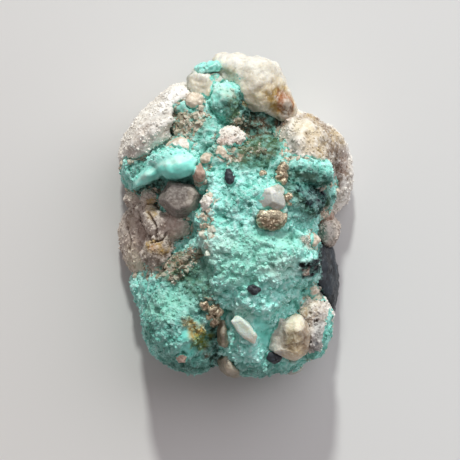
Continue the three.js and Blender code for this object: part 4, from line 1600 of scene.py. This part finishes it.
    sand_patches: tuple[Patch, ...] = (
        Patch(-6.96, 12.59, 3.58, 2.06, 15.0, 0.54),
        Patch(-8.88, 10.39, 1.93, 1.24, 0.0, 0.45),
        Patch(-3.93, 6.95, 1.65, 1.65, 0.0, 0.42),
        Patch(-0.9, 7.91, 2.2, 1.38, 0.0, 0.5),
        Patch(-8.06, -6.67, 4.4, 2.06, 30.0, 0.52),
        Patch(-12.19, -7.5, 1.65, 1.65, 0.0, 0.52),
        Patch(-4.07, -0.89, 1.38, 3.3, 0.0, 0.48),
        Patch(-14.94, 2.13, 1.1, 1.65, 0.0, 0.6),
        Patch(10.1, -3.51, 1.38, 1.1, 0.0, 0.42),
        Patch(12.58, 0.21, 1.51, 1.1, 0.0, 0.55),
        Patch(-3.38, -12.45, 1.51, 1.51, 0.0, 0.42),
        Patch(9.0, -10.39, 1.38, 0.69, 0.0, 0.2),
        Patch(12.99, -16.03, 0.55, 1.93, 0.0, 0.35),
        Patch(0.47, 12.87, 1.93, 1.24, 0.0, 0.46),
        Patch(2.12, 9.01, 2.75, 1.1, 0.0, 0.4),
        Patch(6.53, 7.64, 0.83, 2.48, 0.0, 0.45),
        Patch(-2.0, 15.07, 1.38, 0.83, 0.0, 0.35),
    )
    pits: tuple[Pit, ...] = (
        Pit(1.71, 1.31, 0.47, 0.5), Pit(3.91, 6.54, 0.5, 0.5), Pit(0.06, 6.26, 0.5, 0.5),
        Pit(6.94, -8.87, 0.36, 0.5), Pit(9.0, -6.95, 0.55, 0.5), Pit(2.12, -11.9, 0.41, 0.45),
        Pit(-5.17, -4.75, 0.5, 0.4), Pit(-13.29, 7.5, 0.96, 0.8), Pit(-1.45, -10.52, 0.83, 0.5),
        Pit(-14.94, 6.54, 0.69, 0.6), Pit(10.93, -7.77, 1.24, 0.7), Pit(4.6, 9.01, 0.69, 0.5),
        Pit(-0.08, 12.04, 0.55, 0.5), Pit(-11.91, 2.55, 1.38, 0.5), Pit(-8.33, 3.92, 1.1, 0.4),
        Pit(2.67, 12.04, 1.65, 0.4), Pit(-4.21, 5.16, 0.55, 0.5), Pit(-11.64, 7.64, 0.55, 0.5),
        Pit(9.55, -7.22, 0.83, 0.5),
    )
    bulbs: tuple[Pit, ...] = (
        Pit(-8.06, 6.26, 2.61, -0.35), Pit(-12.19, 5.16, 1.65, -0.35), Pit(-12.87, -9.84, 1.24, -0.4),
        Pit(-6.41, -18.64, 1.51, -0.35), Pit(-6.82, -16.44, 1.24, -0.35), Pit(-10.4, -11.63, 1.51, -0.3),
        Pit(11.07, -11.21, 0.96, -0.7), Pit(9.97, -10.52, 0.69, -0.5), Pit(6.25, 0.76, 0.55, -0.4),
        Pit(-6.96, 6.81, 1.79, -0.35), Pit(-9.43, 5.99, 1.51, -0.25), Pit(-11.91, 5.3, 1.1, -0.3),
        Pit(-14.11, 4.06, 0.96, -0.25), Pit(-6.13, 15.21, 0.83, -0.4),
    )

    def build(self) -> Neighbour:
        """Carves and dresses the mass, the rubble on it and the cap.

        Returns:
            The surface of the mass, for the pieces that lie against it.
        """
        mass, calm = self.carve_mass()
        crumb_layer = GrainLayer(self.crumb_kind, seed=5)
        crumb_layer.spread_on(mass, self.crumb_cover * (1.0 - calm))
        rubble = GrainLayer(self.rubble_kind, seed=6)
        rubble.spread_on(mass, self.rubble_cover * eased(mass.marks[Mark.COAT], 0.3, 0.55), bare=True)
        surface = mass.as_neighbour()
        mass.finish("turquoise_crust", self.finishes.turquoise, "turquoise")
        crumb_layer.finish("turquoise_crumbs", self.finishes.turquoise, "turquoise")
        rubble.finish("rubble_grains", self.finishes.tan_stone, "tan_stone")
        self.build_cap()
        return surface

    def carve_mass(self) -> tuple[Carving, Array]:
        """Carves the grown mass.

        Returns:
            The carving, and how smooth each of its points is.
        """
        carving = Carving("turquoise_mass", self.voxel, smoothing=8)
        for bulb in self.bulbs:
            carving.sink_pit(bulb)
        calm = carving.sum_of(self.calm_patches)
        dusty = np.full(len(carving.points), 2.0)
        for node in SANDY_NODES:
            dusty = np.minimum(dusty, Neighbour.of_solid(node).height_of(carving.points, 1.6))
        close = dusty
        for node in CLEAN_NODES:
            close = np.minimum(close, Neighbour.of_solid(node).height_of(carving.points, 1.2))
        lip = (1.0 - eased(close, 0.3, 1.0)) * eased(soft_noise(carving.points, 1.3, 91), -0.5, 0.5)
        self.relief.raise_on(carving, calm)
        carving.push(self.lap * lip)
        pitted = np.zeros(len(carving.points))
        for pit in self.pits:
            pitted = np.maximum(pitted, carving.sink_pit(pit))
        near = carving.hollowness(rounds=3)
        wide = carving.hollowness(rounds=24)
        hollow = 0.35 * eased(near, 0.01, 0.08) + 0.65 * eased(wide, 0.06, 0.45)
        # Cavity: painted shade in the hollows and pits. Ridge: pale tops, partly a painted highlight.
        carving.marks[Mark.CAVITY] = hollow + 0.7 * pitted
        carving.marks[Mark.RIDGE] = eased(-near, 0.008, 0.06)
        dust = 0.46 * (1.0 - eased(dusty, 0.3, 1.5))
        carving.marks[Mark.COAT] = np.maximum(dust, carving.sum_of(self.sand_patches)) * (1.0 - calm)
        carving.marks[Mark.TONE] = calm
        carving.paint(self.tints, seed=300)
        return carving, calm

    def build_cap(self) -> None:
        """Carves the thin cap on the quartz chip."""
        carving = Carving("turquoise_cap", self.cap_voxel, smoothing=4)
        calm = np.full(len(carving.points), 0.25)
        self.relief.raise_on(carving, calm)
        # Cavity: painted shade in the hollows. Ridge: pale tops, partly a painted highlight.
        carving.marks[Mark.CAVITY] = eased(carving.hollowness(12), 0.02, 0.2)
        carving.marks[Mark.RIDGE] = eased(-carving.hollowness(4), 0.005, 0.04)
        carving.marks[Mark.COAT] = np.full(len(carving.points), 0.22)
        carving.marks[Mark.TONE] = calm
        carving.finish("turquoise_cap_crust", self.finishes.turquoise, "turquoise")


@dataclass(frozen=True)
class StoneRecipe:
    """How one set stone is carved.

    Its lumps, grains and broken faces are given by their size, height and number, and its tints and the
    patches that turquoise covers by place. The lap is how high up its side turquoise reaches.
    """

    node: str
    voxel: float
    smoothing: int = 5
    swell: float = 0.2
    lump: float = 1.6
    lump_height: float = 0.2
    grain: float = 0.5
    grain_height: float = 0.07
    rough: float = 0.07
    broken: int = 0
    coat: float = 0.62
    lap: float = 0.75
    green: tuple[Patch, ...] = ()
    tints: tuple[Tint, ...] = ()
    pits: tuple[Pit, ...] = ()
    cracks: tuple[Crack, ...] = ()


def carve_stone(recipe: StoneRecipe, bed: Neighbour, seed: int) -> Carving:
    """Carves one set stone.

    Args:
        recipe: How it is carved.
        bed: The surface that it is set in.
        seed: The series of its noise.

    Returns:
        The carving, with all its marks but not yet a piece.
    """
    carving = Carving(recipe.node, recipe.voxel, recipe.smoothing)
    carving.break_faces(recipe.broken, seed)
    points = warped(carving.points, 1.3, 0.3, seed)
    grain, own = crumbs(points, recipe.grain, seed + 2)
    height = recipe.lump_height * soft_noise(points, recipe.lump, seed + 1)
    height += recipe.grain_height * (grain - 0.5) + recipe.rough * rough_noise(points, 0.8, seed + 3)
    carving.push(recipe.swell + height)
    cut = np.zeros(len(carving.points))
    for crack in recipe.cracks:
        cut = np.maximum(cut, carving.split(crack))
    for pit in recipe.pits:
        cut = np.maximum(cut, carving.sink_pit(pit))
    near = carving.hollowness(rounds=4)
    wide = carving.hollowness(rounds=18)
    # Cavity: painted shade in the hollows, cracks and pits. Ridge: pale edges, partly a painted highlight.
    carving.marks[Mark.CAVITY] = 0.3 * eased(near, 0.01, 0.07) + 0.5 * eased(wide, 0.05, 0.35) + cut
    carving.marks[Mark.RIDGE] = eased(-near, 0.008, 0.05)
    above = bed.height_of(carving.points, recipe.lap + 0.2)
    covered = recipe.coat * (1.0 - eased(above, 0.0, recipe.lap))
    carving.marks[Mark.COAT] = np.maximum(covered, carving.sum_of(recipe.green))
    carving.marks[Mark.TONE] = own
    carving.paint(recipe.tints, seed + 40)
    return carving


@dataclass
class SetStones(ABC):
    """Stones of one kind, which are set in the crust."""

    finishes: Finishes
    bed: Neighbour

    @abstractmethod
    def build(self) -> None:
        """Carves and dresses every stone of the kind."""

    def set_stone(self, recipe: StoneRecipe, seed: int, material: bpy.types.Material, slot: str) -> None:
        """Carves a stone and makes it a piece.

        Args:
            recipe: How the stone is carved.
            seed: The series of its noise.
            material: Its finish.
            slot: A material slot's name, passed on to the finish.
        """
        carving = carve_stone(recipe, self.bed, seed)
        carving.finish(f"{recipe.node}_stone", material, slot)


@dataclass
class SandstoneLumps(SetStones):
    """The sugary shoulders, the cracked block and the other lumps of sandstone."""

    seed: int = 200
    sand_cover: float = 0.17
    sugar: GrainKind = GrainKind(size=0.32, spread=0.35, lift=-0.05, spacing=1.15)
    pale: tuple[StoneRecipe, ...] = (
        StoneRecipe(
            "sandstone_shoulder_left", 0.185, lump_height=0.3, rough=0.12, tints=(
                dab(Hue.BROWN, -14.11, 7.91, 1.65, 2.2, -8.0, 0.2),
                dab(Hue.ROSY, -11.91, 11.49, 3.03, 1.65, 45.0, 0.2),
                dab(Hue.WHITE, -8.33, 17.0, 2.2, 1.65, 30.0, 0.85),
                dab(Hue.WHITE, -10.81, 14.79, 2.06, 1.24, 45.0, 0.5),
                dab(Hue.GREY, -10.54, 13.14, 1.93, 0.96, 45.0, 0.3),
                dab(Hue.BROWN, -8.47, 13.83, 0.83, 0.83, 0.0, 0.8),
                dab(Hue.BROWN, -11.64, 9.01, 1.65, 0.69, 20.0, 0.35),
            ),
        ),
        StoneRecipe(
            "sandstone_shoulder_right", 0.185, lump_height=0.38, rough=0.1, tints=(
                dab(Hue.BROWN, 11.76, 9.01, 4.4, 5.78, 0.0, 1.2, 0.25),
                dab(Hue.GREY, 7.35, 8.46, 2.48, 3.44, -10.0, 0.9),
                dab(Hue.STONE, 7.63, 8.74, 1.93, 2.2, -10.0, 0.4),
                dab(Hue.GREY, 11.76, 9.57, 1.1, 1.24, 0.0, 0.6),
                dab(Hue.SAND, 6.8, 11.49, 1.65, 2.2, -20.0, 0.5),
                dab(Hue.SAND, 10.65, 9.57, 2.48, 3.58, 0.0, 0.7),
                dab(Hue.HONEY, 10.93, 10.39, 2.48, 2.75, 0.0, 0.35),
                dab(Hue.CREAM, 9.14, 12.32, 1.79, 1.24, -20.0, 0.5),
                dab(Hue.OCHRE, 10.38, 13.83, 1.24, 0.69, -20.0, 0.7),
                dab(Hue.HONEY, 14.51, 10.53, 1.93, 1.93, 0.0, 0.8),
                dab(Hue.BROWN, 14.78, 10.12, 1.65, 1.93, 0.0, 0.35),
                dab(Hue.BROWN, 13.96, 5.71, 2.75, 4.13, 0.0, 1.0),
                dab(Hue.UMBER, 13.96, 5.16, 2.75, 3.85, 0.0, 0.85),
                dab(Hue.ROSY, 15.06, 7.36, 1.1, 1.93, 0.0, 0.4),
                dab(Hue.SAND, 13.68, 7.64, 1.1, 0.69, 0.0, 0.5),
                dab(Hue.OCHRE, 11.48, 7.91, 0.55, 1.65, 10.0, 0.75),
                dab(Hue.RUST, 11.34, 6.81, 0.41, 0.69, 10.0, 0.6),
                dab(Hue.RUST, 6.53, 13.56, 0.83, 1.38, 20.0, 0.8),
                dab(Hue.OCHRE, 7.9, 14.52, 0.96, 0.83, 0.0, 0.6),
                dab(Hue.UMBER, 11.21, 12.45, 0.36, 0.36, 0.0, 0.9),
                dab(Hue.UMBER, 12.99, 11.63, 0.36, 0.36, 0.0, 0.9),
                dab(Hue.WHITE, 15.33, 4.47, 0.83, 0.83, 0.0, 0.5),
            ),
            pits=(
                Pit(11.21, 12.32, 0.41, 0.3), Pit(12.99, 11.49, 0.41, 0.3), Pit(11.76, 9.01, 0.69, 0.3),
                Pit(9.83, 11.22, 0.83, 0.3), Pit(10.52, 7.64, 0.83, 0.3), Pit(13.41, 8.74, 0.69, 0.25),
            ),
        ),
        StoneRecipe(
            "sandstone_rind_lower_right", 0.14, lump_height=0.25, rough=0.12,
            green=(Patch(12.58, -16.3, 0.83, 3.58, -8.0, 0.75), Patch(11.21, -19.88, 2.48, 1.38, 20.0, 0.75)),
            tints=(
                dab(Hue.BROWN, 10.65, -15.2, 2.2, 4.13, 0.0, 0.75),
                dab(Hue.UMBER, 11.21, -17.4, 0.96, 1.93, 0.0, 0.4),
                dab(Hue.SAND, 9.83, -12.45, 1.79, 1.24, -20.0, 0.7),
                dab(Hue.GREY, 11.48, -16.58, 0.96, 2.75, 0.0, 0.8),
                dab(Hue.SLATE, 10.65, -18.09, 0.69, 1.24, 0.0, 0.6),
                dab(Hue.OCHRE, 9.14, -13.28, 0.83, 0.69, 0.0, 0.5),
                dab(Hue.BLACK, 10.93, -14.51, 0.39, 0.39, 0.0, 1.0),
            ),
            pits=(Pit(10.93, -14.51, 0.41, 0.6), Pit(9.97, -13.41, 0.41, 0.4)),
        ),
        StoneRecipe(
            "sparkling_chip_centre", 0.09, lump_height=0.3, rough=0.14, broken=7, coat=0.75, lap=1.1, tints=(
                dab(Hue.ROSY, -1.45, 9.57, 1.65, 1.1, 0.0, 0.6),
                dab(Hue.BROWN, 0.47, 9.29, 1.1, 0.96, 0.0, 0.5),
            ),
            pits=(Pit(-0.08, 10.94, 0.41, 0.4), Pit(-1.45, 9.29, 0.41, 0.4), Pit(0.89, 9.98, 0.41, 0.4)),
        ),
        StoneRecipe("sparkling_grain_by_pebble", 0.08, lump_height=0.15, rough=0.1, broken=6),
    )
    brown: tuple[StoneRecipe, ...] = (
        StoneRecipe(
            "sandstone_block_left", 0.16, lump_height=0.22, rough=0.13, coat=0.58, tints=(
                dab(Hue.SAND, -14.25, -6.67, 1.38, 2.89, 10.0, 0.9),
                dab(Hue.ROSY, -13.56, -2.82, 2.48, 2.75, 0.0, 0.3),
                dab(Hue.ROSY, -9.16, -1.44, 1.38, 1.65, 0.0, 0.4),
                dab(Hue.OCHRE, -11.77, 0.62, 0.83, 1.24, 20.0, 0.8),
                dab(Hue.UMBER, -9.99, -5.16, 3.16, 2.06, -20.0, 1.4),
                dab(Hue.OCHRE, -11.22, -4.19, 1.93, 0.96, -20.0, 1.0),
                dab(Hue.RUST, -11.64, -4.33, 0.96, 0.55, 0.0, 0.6),
                dab(Hue.UMBER, -9.43, -5.85, 1.24, 0.69, 0.0, 0.6),
                dab(Hue.SAND, -8.88, -2.82, 0.69, 0.55, 0.0, 0.7),
                dab(Hue.SAND, -14.94, -0.89, 0.83, 1.1, 0.0, 0.5),
            ),
            cracks=(
                Crack(((-13.7, 0.48), (-13.15, -0.89), (-12.19, -2.27), (-11.64, -3.51)), 0.28, 0.6),
                Crack(((-12.19, 0.48), (-11.5, -0.62), (-10.95, -1.86), (-11.09, -3.37)), 0.28, 0.6),
                Crack(((-11.64, -3.78), (-10.26, -3.37), (-9.43, -2.27)), 0.2, 0.4),
                Crack(((-15.35, -1.44), (-14.8, -3.09), (-14.94, -5.02)), 0.16, 0.2),
            ),
        ),
        StoneRecipe(
            "sandstone_lump_below_slab", 0.11, lump_height=0.2, rough=0.1, broken=5,
            tints=(
                dab(Hue.OCHRE, -11.64, 1.58, 0.83, 0.83, 0.0, 0.8),
                dab(Hue.SAND, -14.66, 2.55, 0.83, 0.83, 0.0, 0.5),
            ),
        ),
        StoneRecipe("sandstone_pebble_right", 0.12, lump_height=0.2, rough=0.08,
                    tints=(dab(Hue.GREY, 13.27, -2.54, 1.1, 1.38, 0.0, 0.5),)),
    )

    def build(self) -> None:
        """Carves the lumps and sets sand grains on them."""
        batches = (
            (self.pale, self.finishes.pale_sandstone, "pale"),
            (self.brown, self.finishes.brown_sandstone, "brown"),
        )
        seed = self.seed
        for recipes, material, kind in batches:
            slot = f"{kind}_sandstone"
            grains = GrainLayer(self.sugar, 8 + seed)
            for recipe in recipes:
                seed += SEED_STEP
                carving = carve_stone(recipe, self.bed, seed)
                clumps = eased(rough_noise(carving.points, 1.4, seed), -0.7, 0.5)
                grains.spread_on(carving, self.sand_cover * clumps)
                carving.finish(f"{recipe.node}_stone", material, slot)
            grains.finish(f"sand_grains_{kind}", material, slot)


@dataclass
class QuartzPieces(SetStones):
    """The cream crest, the chip beside it, the crystal, the nodule, the sliver and the veins."""

    seed: int = 400
    cream: tuple[StoneRecipe, ...] = (
        StoneRecipe(
            "quartz_crest", 0.155, smoothing=12, swell=0.3, lump_height=0.35, grain=0.5, grain_height=0.1,
            rough=0.1, green=(Patch(-0.08, 18.37, 1.24, 1.65, 0.0, 0.4),),
            tints=(
                # This cream dab paints light over the crest's shaded lower edge.
                dab(Hue.CREAM, 2.67, 16.03, 2.34, 1.24, 5.0, 0.9),
                dab(Hue.HONEY, 4.88, 17.0, 2.2, 2.48, 0.0, 0.4),
                dab(Hue.GREY, 1.85, 20.57, 4.95, 3.03, 0.0, 0.35),
                dab(Hue.WHITE, 0.2, 21.4, 3.58, 1.1, 0.0, 0.4),
                dab(Hue.OCHRE, 5.98, 15.62, 1.93, 2.2, 20.0, 1.0, 0.35),
                dab(Hue.RUST, 6.66, 15.34, 1.24, 1.93, 25.0, 1.1, 0.4),
                dab(Hue.UMBER, 7.08, 14.52, 0.83, 1.24, 20.0, 0.8, 0.3),
                dab(Hue.UMBER, 6.39, 13.42, 0.83, 1.1, 0.0, 0.7),
                dab(Hue.OCHRE, -0.9, 19.89, 0.83, 0.69, 0.0, 0.35),
            ),
        ),
        StoneRecipe(
            "quartz_nodule_lower_right", 0.12, smoothing=3, lump=1.6, lump_height=0.14, grain=0.9,
            grain_height=0.06, rough=0.12, coat=0.66, lap=1.2,
            green=(Patch(4.05, -13.83, 0.83, 1.1, 0.0, 0.6),), tints=(
                dab(Hue.GREY, 5.29, -16.03, 1.38, 3.44, 0.0, 1.3, 0.1),
                dab(Hue.SAND, 5.29, -16.03, 1.24, 3.03, 0.0, 0.5, 0.1),
                dab(Hue.CREAM, 7.77, -15.75, 1.24, 2.75, -8.0, 0.55, 0.15),
                dab(Hue.HONEY, 8.45, -18.92, 1.93, 1.24, 20.0, 0.6),
                dab(Hue.BROWN, 9.69, -16.85, 0.83, 2.75, 0.0, 0.75),
                dab(Hue.UMBER, 6.53, -16.3, 0.22, 2.48, 6.0, 0.5, 0.1),
            ),
            pits=(
                Pit(7.35, -17.13, 3.03, 0.55), Pit(6.53, -14.65, 0.55, 0.25), Pit(6.53, -17.95, 0.55, 0.25),
            ),
        ),
        StoneRecipe(
            "quartz_sliver", 0.07, smoothing=3, swell=0.1, lump_height=0.05, grain_height=0.02, rough=0.04,
            coat=0.75, lap=0.9, tints=(dab(Hue.FROST, 1.16, -15.2, 2.48, 1.65, 0.0, 0.6),),
        ),
    )
    grey: tuple[StoneRecipe, ...] = (
        StoneRecipe(
            "quartz_chip_by_crest", 0.12, smoothing=4, lump_height=0.2, grain_height=0.08, rough=0.12,
            coat=0.7, lap=0.9, green=(Patch(-2.83, 19.2, 1.1, 0.55, 30.0, 0.6),),
            tints=(
                dab(Hue.SAND, -4.48, 18.1, 1.93, 1.93, 0.0, 0.6),
                dab(Hue.WHITE, -5.03, 19.2, 1.24, 0.69, 0.0, 0.5),
                dab(Hue.OCHRE, -3.38, 16.45, 0.69, 1.1, 0.0, 0.5),
            ),
        ),
        StoneRecipe("quartz_nub_at_foot", 0.1, smoothing=4, lump_height=0.1, grain_height=0.04,
                    tints=(dab(Hue.ROSY, 7.49, -20.71, 1.1, 0.55, 0.0, 0.3),)),
        StoneRecipe(
            "quartz_crystal_centre", 0.08, smoothing=2, swell=0.12, lump_height=0.08, grain=0.9,
            grain_height=0.03, rough=0.05, coat=0.72, lap=1.2, tints=(
                dab(Hue.OLIVE, 2.81, 1.58, 0.69, 1.51, 0.0, 0.5),
                dab(Hue.GREY, 4.6, 1.58, 1.93, 1.65, 0.0, 0.8),
                dab(Hue.STONE, 3.5, 1.03, 1.1, 1.1, 0.0, 0.5),
                dab(Hue.WHITE, 4.33, 3.51, 1.24, 0.41, -20.0, 0.7),
            ),
        ),
    )
    brown: tuple[StoneRecipe, ...] = (
        StoneRecipe("quartz_vein_upper", 0.1, smoothing=3, lump_height=0.15, grain=0.7, grain_height=0.08,
                    coat=0.6, tints=(dab(Hue.UMBER, -2.0, -16.58, 0.83, 1.38, 0.0, 0.5),)),
        StoneRecipe(
            "quartz_vein_lower", 0.13, smoothing=3, lump_height=0.15, grain=1.0, grain_height=0.06, broken=4,
            coat=0.4, tints=(dab(Hue.SAND, -0.9, -20.43, 1.1, 1.51, 20.0, 0.7),
                             dab(Hue.UMBER, -2.0, -19.19, 0.55, 1.24, 0.0, 0.4)),
        ),
    )

    def build(self) -> None:
        """Carves and dresses every quartz piece."""
        batches = (
            (self.cream, self.finishes.cream_quartz, "cream_quartz"),
            (self.grey, self.finishes.grey_quartz, "grey_quartz"),
            (self.brown, self.finishes.brown_quartz, "brown_quartz"),
        )
        seed = self.seed
        for recipes, material, slot in batches:
            for recipe in recipes:
                seed += SEED_STEP
                self.set_stone(recipe, seed, material, slot)


@dataclass
class HostRock(SetStones):
    """The dark rock under the crust, and the dark grains in it."""

    seed: int = 600
    host: StoneRecipe = StoneRecipe(
        "dark_host_rock", 0.3, smoothing=5, swell=0.12, lump=2.4, lump_height=0.3, grain=0.9,
        grain_height=0.1, rough=0.16, coat=0.42,
    )
    # The dark grain at the foot sits where the crevice lies in shade, so its dark colour stands partly for
    # that shade.
    grains: tuple[str, ...] = ("dark_grain_upper", "dark_grain_lower", "dark_grain_at_foot")

    def build(self) -> None:
        """Carves the host rock and its grains."""
        small = tuple(
            StoneRecipe(node, 0.09, smoothing=2, lump_height=0.15, rough=0.12, broken=6, coat=0.8, lap=1.0)
            for node in self.grains
        )
        for number, recipe in enumerate((self.host, *small)):
            self.set_stone(recipe, self.seed + SEED_STEP * number, self.finishes.dark_rock, "dark_rock")


@dataclass
class GreyPebble(SetStones):
    """The flat-faced grey pebble under the slab."""

    seed: int = 700
    stone: StoneRecipe = StoneRecipe(
        "grey_pebble", 0.12, smoothing=3, lump=1.2, lump_height=0.1, grain=0.35, grain_height=0.04,
        rough=0.1, coat=0.6, lap=0.9, tints=(
            dab(Hue.SAND, -5.99, 2.27, 0.69, 1.93, -20.0, 0.35),
            dab(Hue.UMBER, -8.33, 1.31, 1.65, 0.83, 0.0, 0.2),
        ),
    )

    def build(self) -> None:
        """Carves and dresses the pebble."""
        self.set_stone(self.stone, self.seed, self.finishes.grey_stone, "grey_stone")


@dataclass
class PyritePieces(SetStones):
    """The brassy half disc, the lumps round the crystal and the cluster at the cleft."""

    seed: int = 800
    voxel: float = 0.08
    # A painted highlight along the half disc's top rim, and painted shade on its lower part.
    rim_highlight_and_shade: tuple[Tint, ...] = (
        dab(Hue.CREAM, 4.6, 0.07, 2.2, 0.41, -4.0, 0.8),
        dab(Hue.UMBER, 4.6, -1.99, 1.65, 0.69, 0.0, 0.6),
    )
    nodes: tuple[str, ...] = (
        "pyrite_half_disc", "pyrite_pair_right_of_crystal", "pyrite_lump_above_crystal",
        "pyrite_cluster_at_cleft", "pyrite_grain_left", "pyrite_grain_right",
    )

    def build(self) -> None:
        """Carves and dresses every piece of pyrite."""
        for number, node in enumerate(self.nodes):
            recipe = StoneRecipe(
                node, self.voxel, smoothing=2, swell=0.16, lump=0.9, lump_height=0.14, grain=0.5,
                grain_height=0.14, rough=0.1, coat=0.6, lap=0.8, tints=self.rim_highlight_and_shade,
            )
            self.set_stone(recipe, self.seed + SEED_STEP * number, self.finishes.pyrite, "pyrite")


@dataclass
class SmallStones(SetStones):
    """The tan, beige and rosy chips set in the crust."""

    seed: int = 900
    voxel: float = 0.09
    tan: tuple[str, ...] = (
        "tan_chip_by_shoulder", "tan_chip_above_slab", "tan_grain_below_chip", "round_tan_grain",
        "tan_grain_right", "beige_grain_lower_right",
    )
    rosy: tuple[str, ...] = ("rosy_grain_by_slab", "rosy_grain_right", "rosy_grain_in_lobe")
    tints: tuple[Tint, ...] = (
        dab(Hue.ROSY, -7.51, 9.15, 2.2, 1.1, 8.0, 0.5),
        dab(Hue.WHITE, -7.23, 9.84, 1.65, 0.55, 8.0, 0.7),
        dab(Hue.RUST, -6.41, 8.19, 1.38, 0.41, 8.0, 0.5),
        dab(Hue.SAND, -5.86, 15.34, 0.83, 0.83, 0.0, 0.6),
    )

    def build(self) -> None:
        """Carves and dresses every small stone."""
        seed = self.seed
        for nodes, material in ((self.tan, self.finishes.tan_stone), (self.rosy, self.finishes.rosy_stone)):
            for node in nodes:
                seed += SEED_STEP
                recipe = StoneRecipe(
                    node, self.voxel, smoothing=2, lump=0.9, lump_height=0.2, grain=0.4, grain_height=0.06,
                    rough=0.12, broken=6, coat=0.74, lap=0.95, tints=self.tints,
                )
                self.set_stone(recipe, seed, material, "tan_stone")


@dataclass(frozen=True)
class Lamp:
    """A round soft light, by where it stands seen from the specimen.

    Its swing is counted in degrees from +Y towards +X, and its rise from the ground.
    """

    name: str
    swing: float
    rise: float
    distance: float
    size: float
    power: float
    colour: tuple[float, float, float]

    def build(self) -> None:
        """Sets up the light, turned towards the specimen."""
        data = bpy.data.lights.new(self.name, "AREA")
        data.shape = "DISK"
        data.size = self.size * MM
        data.energy = self.power
        data.color = self.colour
        lamp = bpy.data.objects.new(self.name, data)
        rise, swing = math.radians(self.rise), math.radians(self.swing)
        away = Vector((math.sin(swing) * math.cos(rise), math.cos(swing) * math.cos(rise), math.sin(rise)))
        lamp.location = away * self.distance * MM
        lamp.rotation_euler = away.to_track_quat("Z", "Y").to_euler()
        bpy.context.scene.collection.objects.link(lamp)


@dataclass
class Studio:
    """The floor, the lights and the camera above."""

    focal: float = 200.0
    sensor: float = 36.0
    picture_width: float = 63.3
    focus_height: float = 12.0
    centre_x: float = -0.90
    centre_y: float = -1.99
    clip_near: float = 10.0
    clip_far: float = 10000.0
    floor_size: float = 2400.0
    floor_colour: Colour = (0.70, 0.70, 0.70, 1.0)
    floor_shaded: Colour = (0.67, 0.655, 0.645, 1.0)
    shade_start: float = -60.0
    shade_end: float = 20.0
    shade_slant: float = 0.5
    ambient: tuple[float, float, float] = (0.304, 0.270, 0.272)
    lamps: tuple[Lamp, ...] = (
        Lamp("window", -3.0, 35.0, 1300.0, 120.0, 12.6, (0.96, 1.0, 0.95)),
        Lamp("side window", 44.0, 42.0, 700.0, 760.0, 2.5, (0.98, 1.0, 1.03)),
    )

    def build(self) -> None:
        """Sets up everything round the specimen."""
        bpy.context.scene.view_settings.view_transform = "Standard"
        self.build_camera()
        for lamp in self.lamps:
            lamp.build()
        self.build_world()
        self.build_floor()

    def build_camera(self) -> None:
        """Hangs the camera straight above the specimen."""
        data = bpy.data.cameras.new("camera")
        data.lens = self.focal
        data.sensor_width = self.sensor
        distance = self.picture_width * self.focal / self.sensor
        data.clip_start = self.clip_near * MM
        data.clip_end = self.clip_far * MM
        camera = bpy.data.objects.new("camera", data)
        camera.location = Vector((self.centre_x, self.centre_y, self.focus_height + distance)) * MM
        bpy.context.scene.collection.objects.link(camera)
        bpy.context.scene.camera = camera

    def build_world(self) -> None:
        """Lights the scene softly from all round."""
        world = bpy.data.worlds.new("room")
        world.use_nodes = True
        background = world.node_tree.nodes["Background"]
        background.inputs["Color"].default_value = (*self.ambient, 1.0)
        background.inputs["Strength"].default_value = 1.0
        bpy.context.scene.world = world

    def build_floor(self) -> None:
        """Lays a pale floor under the specimen, with painted shade that makes it a little darker towards -X
        and -Y.
        """
        half = 0.5 * self.floor_size * MM
        mesh = bpy.data.meshes.new("floor")
        corners = [(-half, -half, 0.0), (half, -half, 0.0), (half, half, 0.0), (-half, half, 0.0)]
        mesh.from_pydata(corners, [], [(0, 1, 2, 3)])
        material = bpy.data.materials.new("pale card")
        material.use_nodes = True
        wiring = Wiring(material.node_tree)
        shader = material.node_tree.nodes["Principled BSDF"]
        parts = wiring.node("ShaderNodeSeparateXYZ")
        wiring.feed(parts.inputs[0], wiring.node("ShaderNodeTexCoord").outputs["Object"])
        sum_of_parts = wiring.node("ShaderNodeMath", operation="MULTIPLY_ADD")
        wiring.feed(sum_of_parts.inputs[0], parts.outputs[1])
        sum_of_parts.inputs[1].default_value = self.shade_slant
        wiring.feed(sum_of_parts.inputs[2], parts.outputs[0])
        slope = wiring.step(sum_of_parts.outputs[0], self.shade_start * MM, self.shade_end * MM)
        wiring.feed(shader.inputs["Base Color"], wiring.mixed(self.floor_shaded, self.floor_colour, slope))
        shader.inputs["Roughness"].default_value = 0.9
        shader.inputs["Specular IOR Level"].default_value = 0.1
        mesh.materials.append(material)
        floor = bpy.data.objects.new("floor", mesh)
        bpy.context.scene.collection.objects.link(floor)


def main() -> None:
    """Builds the studio, the finishes and every sub-assembly."""
    logging.basicConfig(level=logging.INFO, format="%(name)s: %(message)s")
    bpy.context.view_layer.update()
    Studio().build()
    finishes = Finishes(Effects())
    bed = TurquoiseCrust(finishes).build()
    LOG.info("TurquoiseCrust is built")
    for kind in (HostRock, SandstoneLumps, QuartzPieces, GreyPebble, PyritePieces, SmallStones):
        kind(finishes, bed).build()
        LOG.info("%s is built", kind.__name__)


if __name__ == "__main__":
    main()
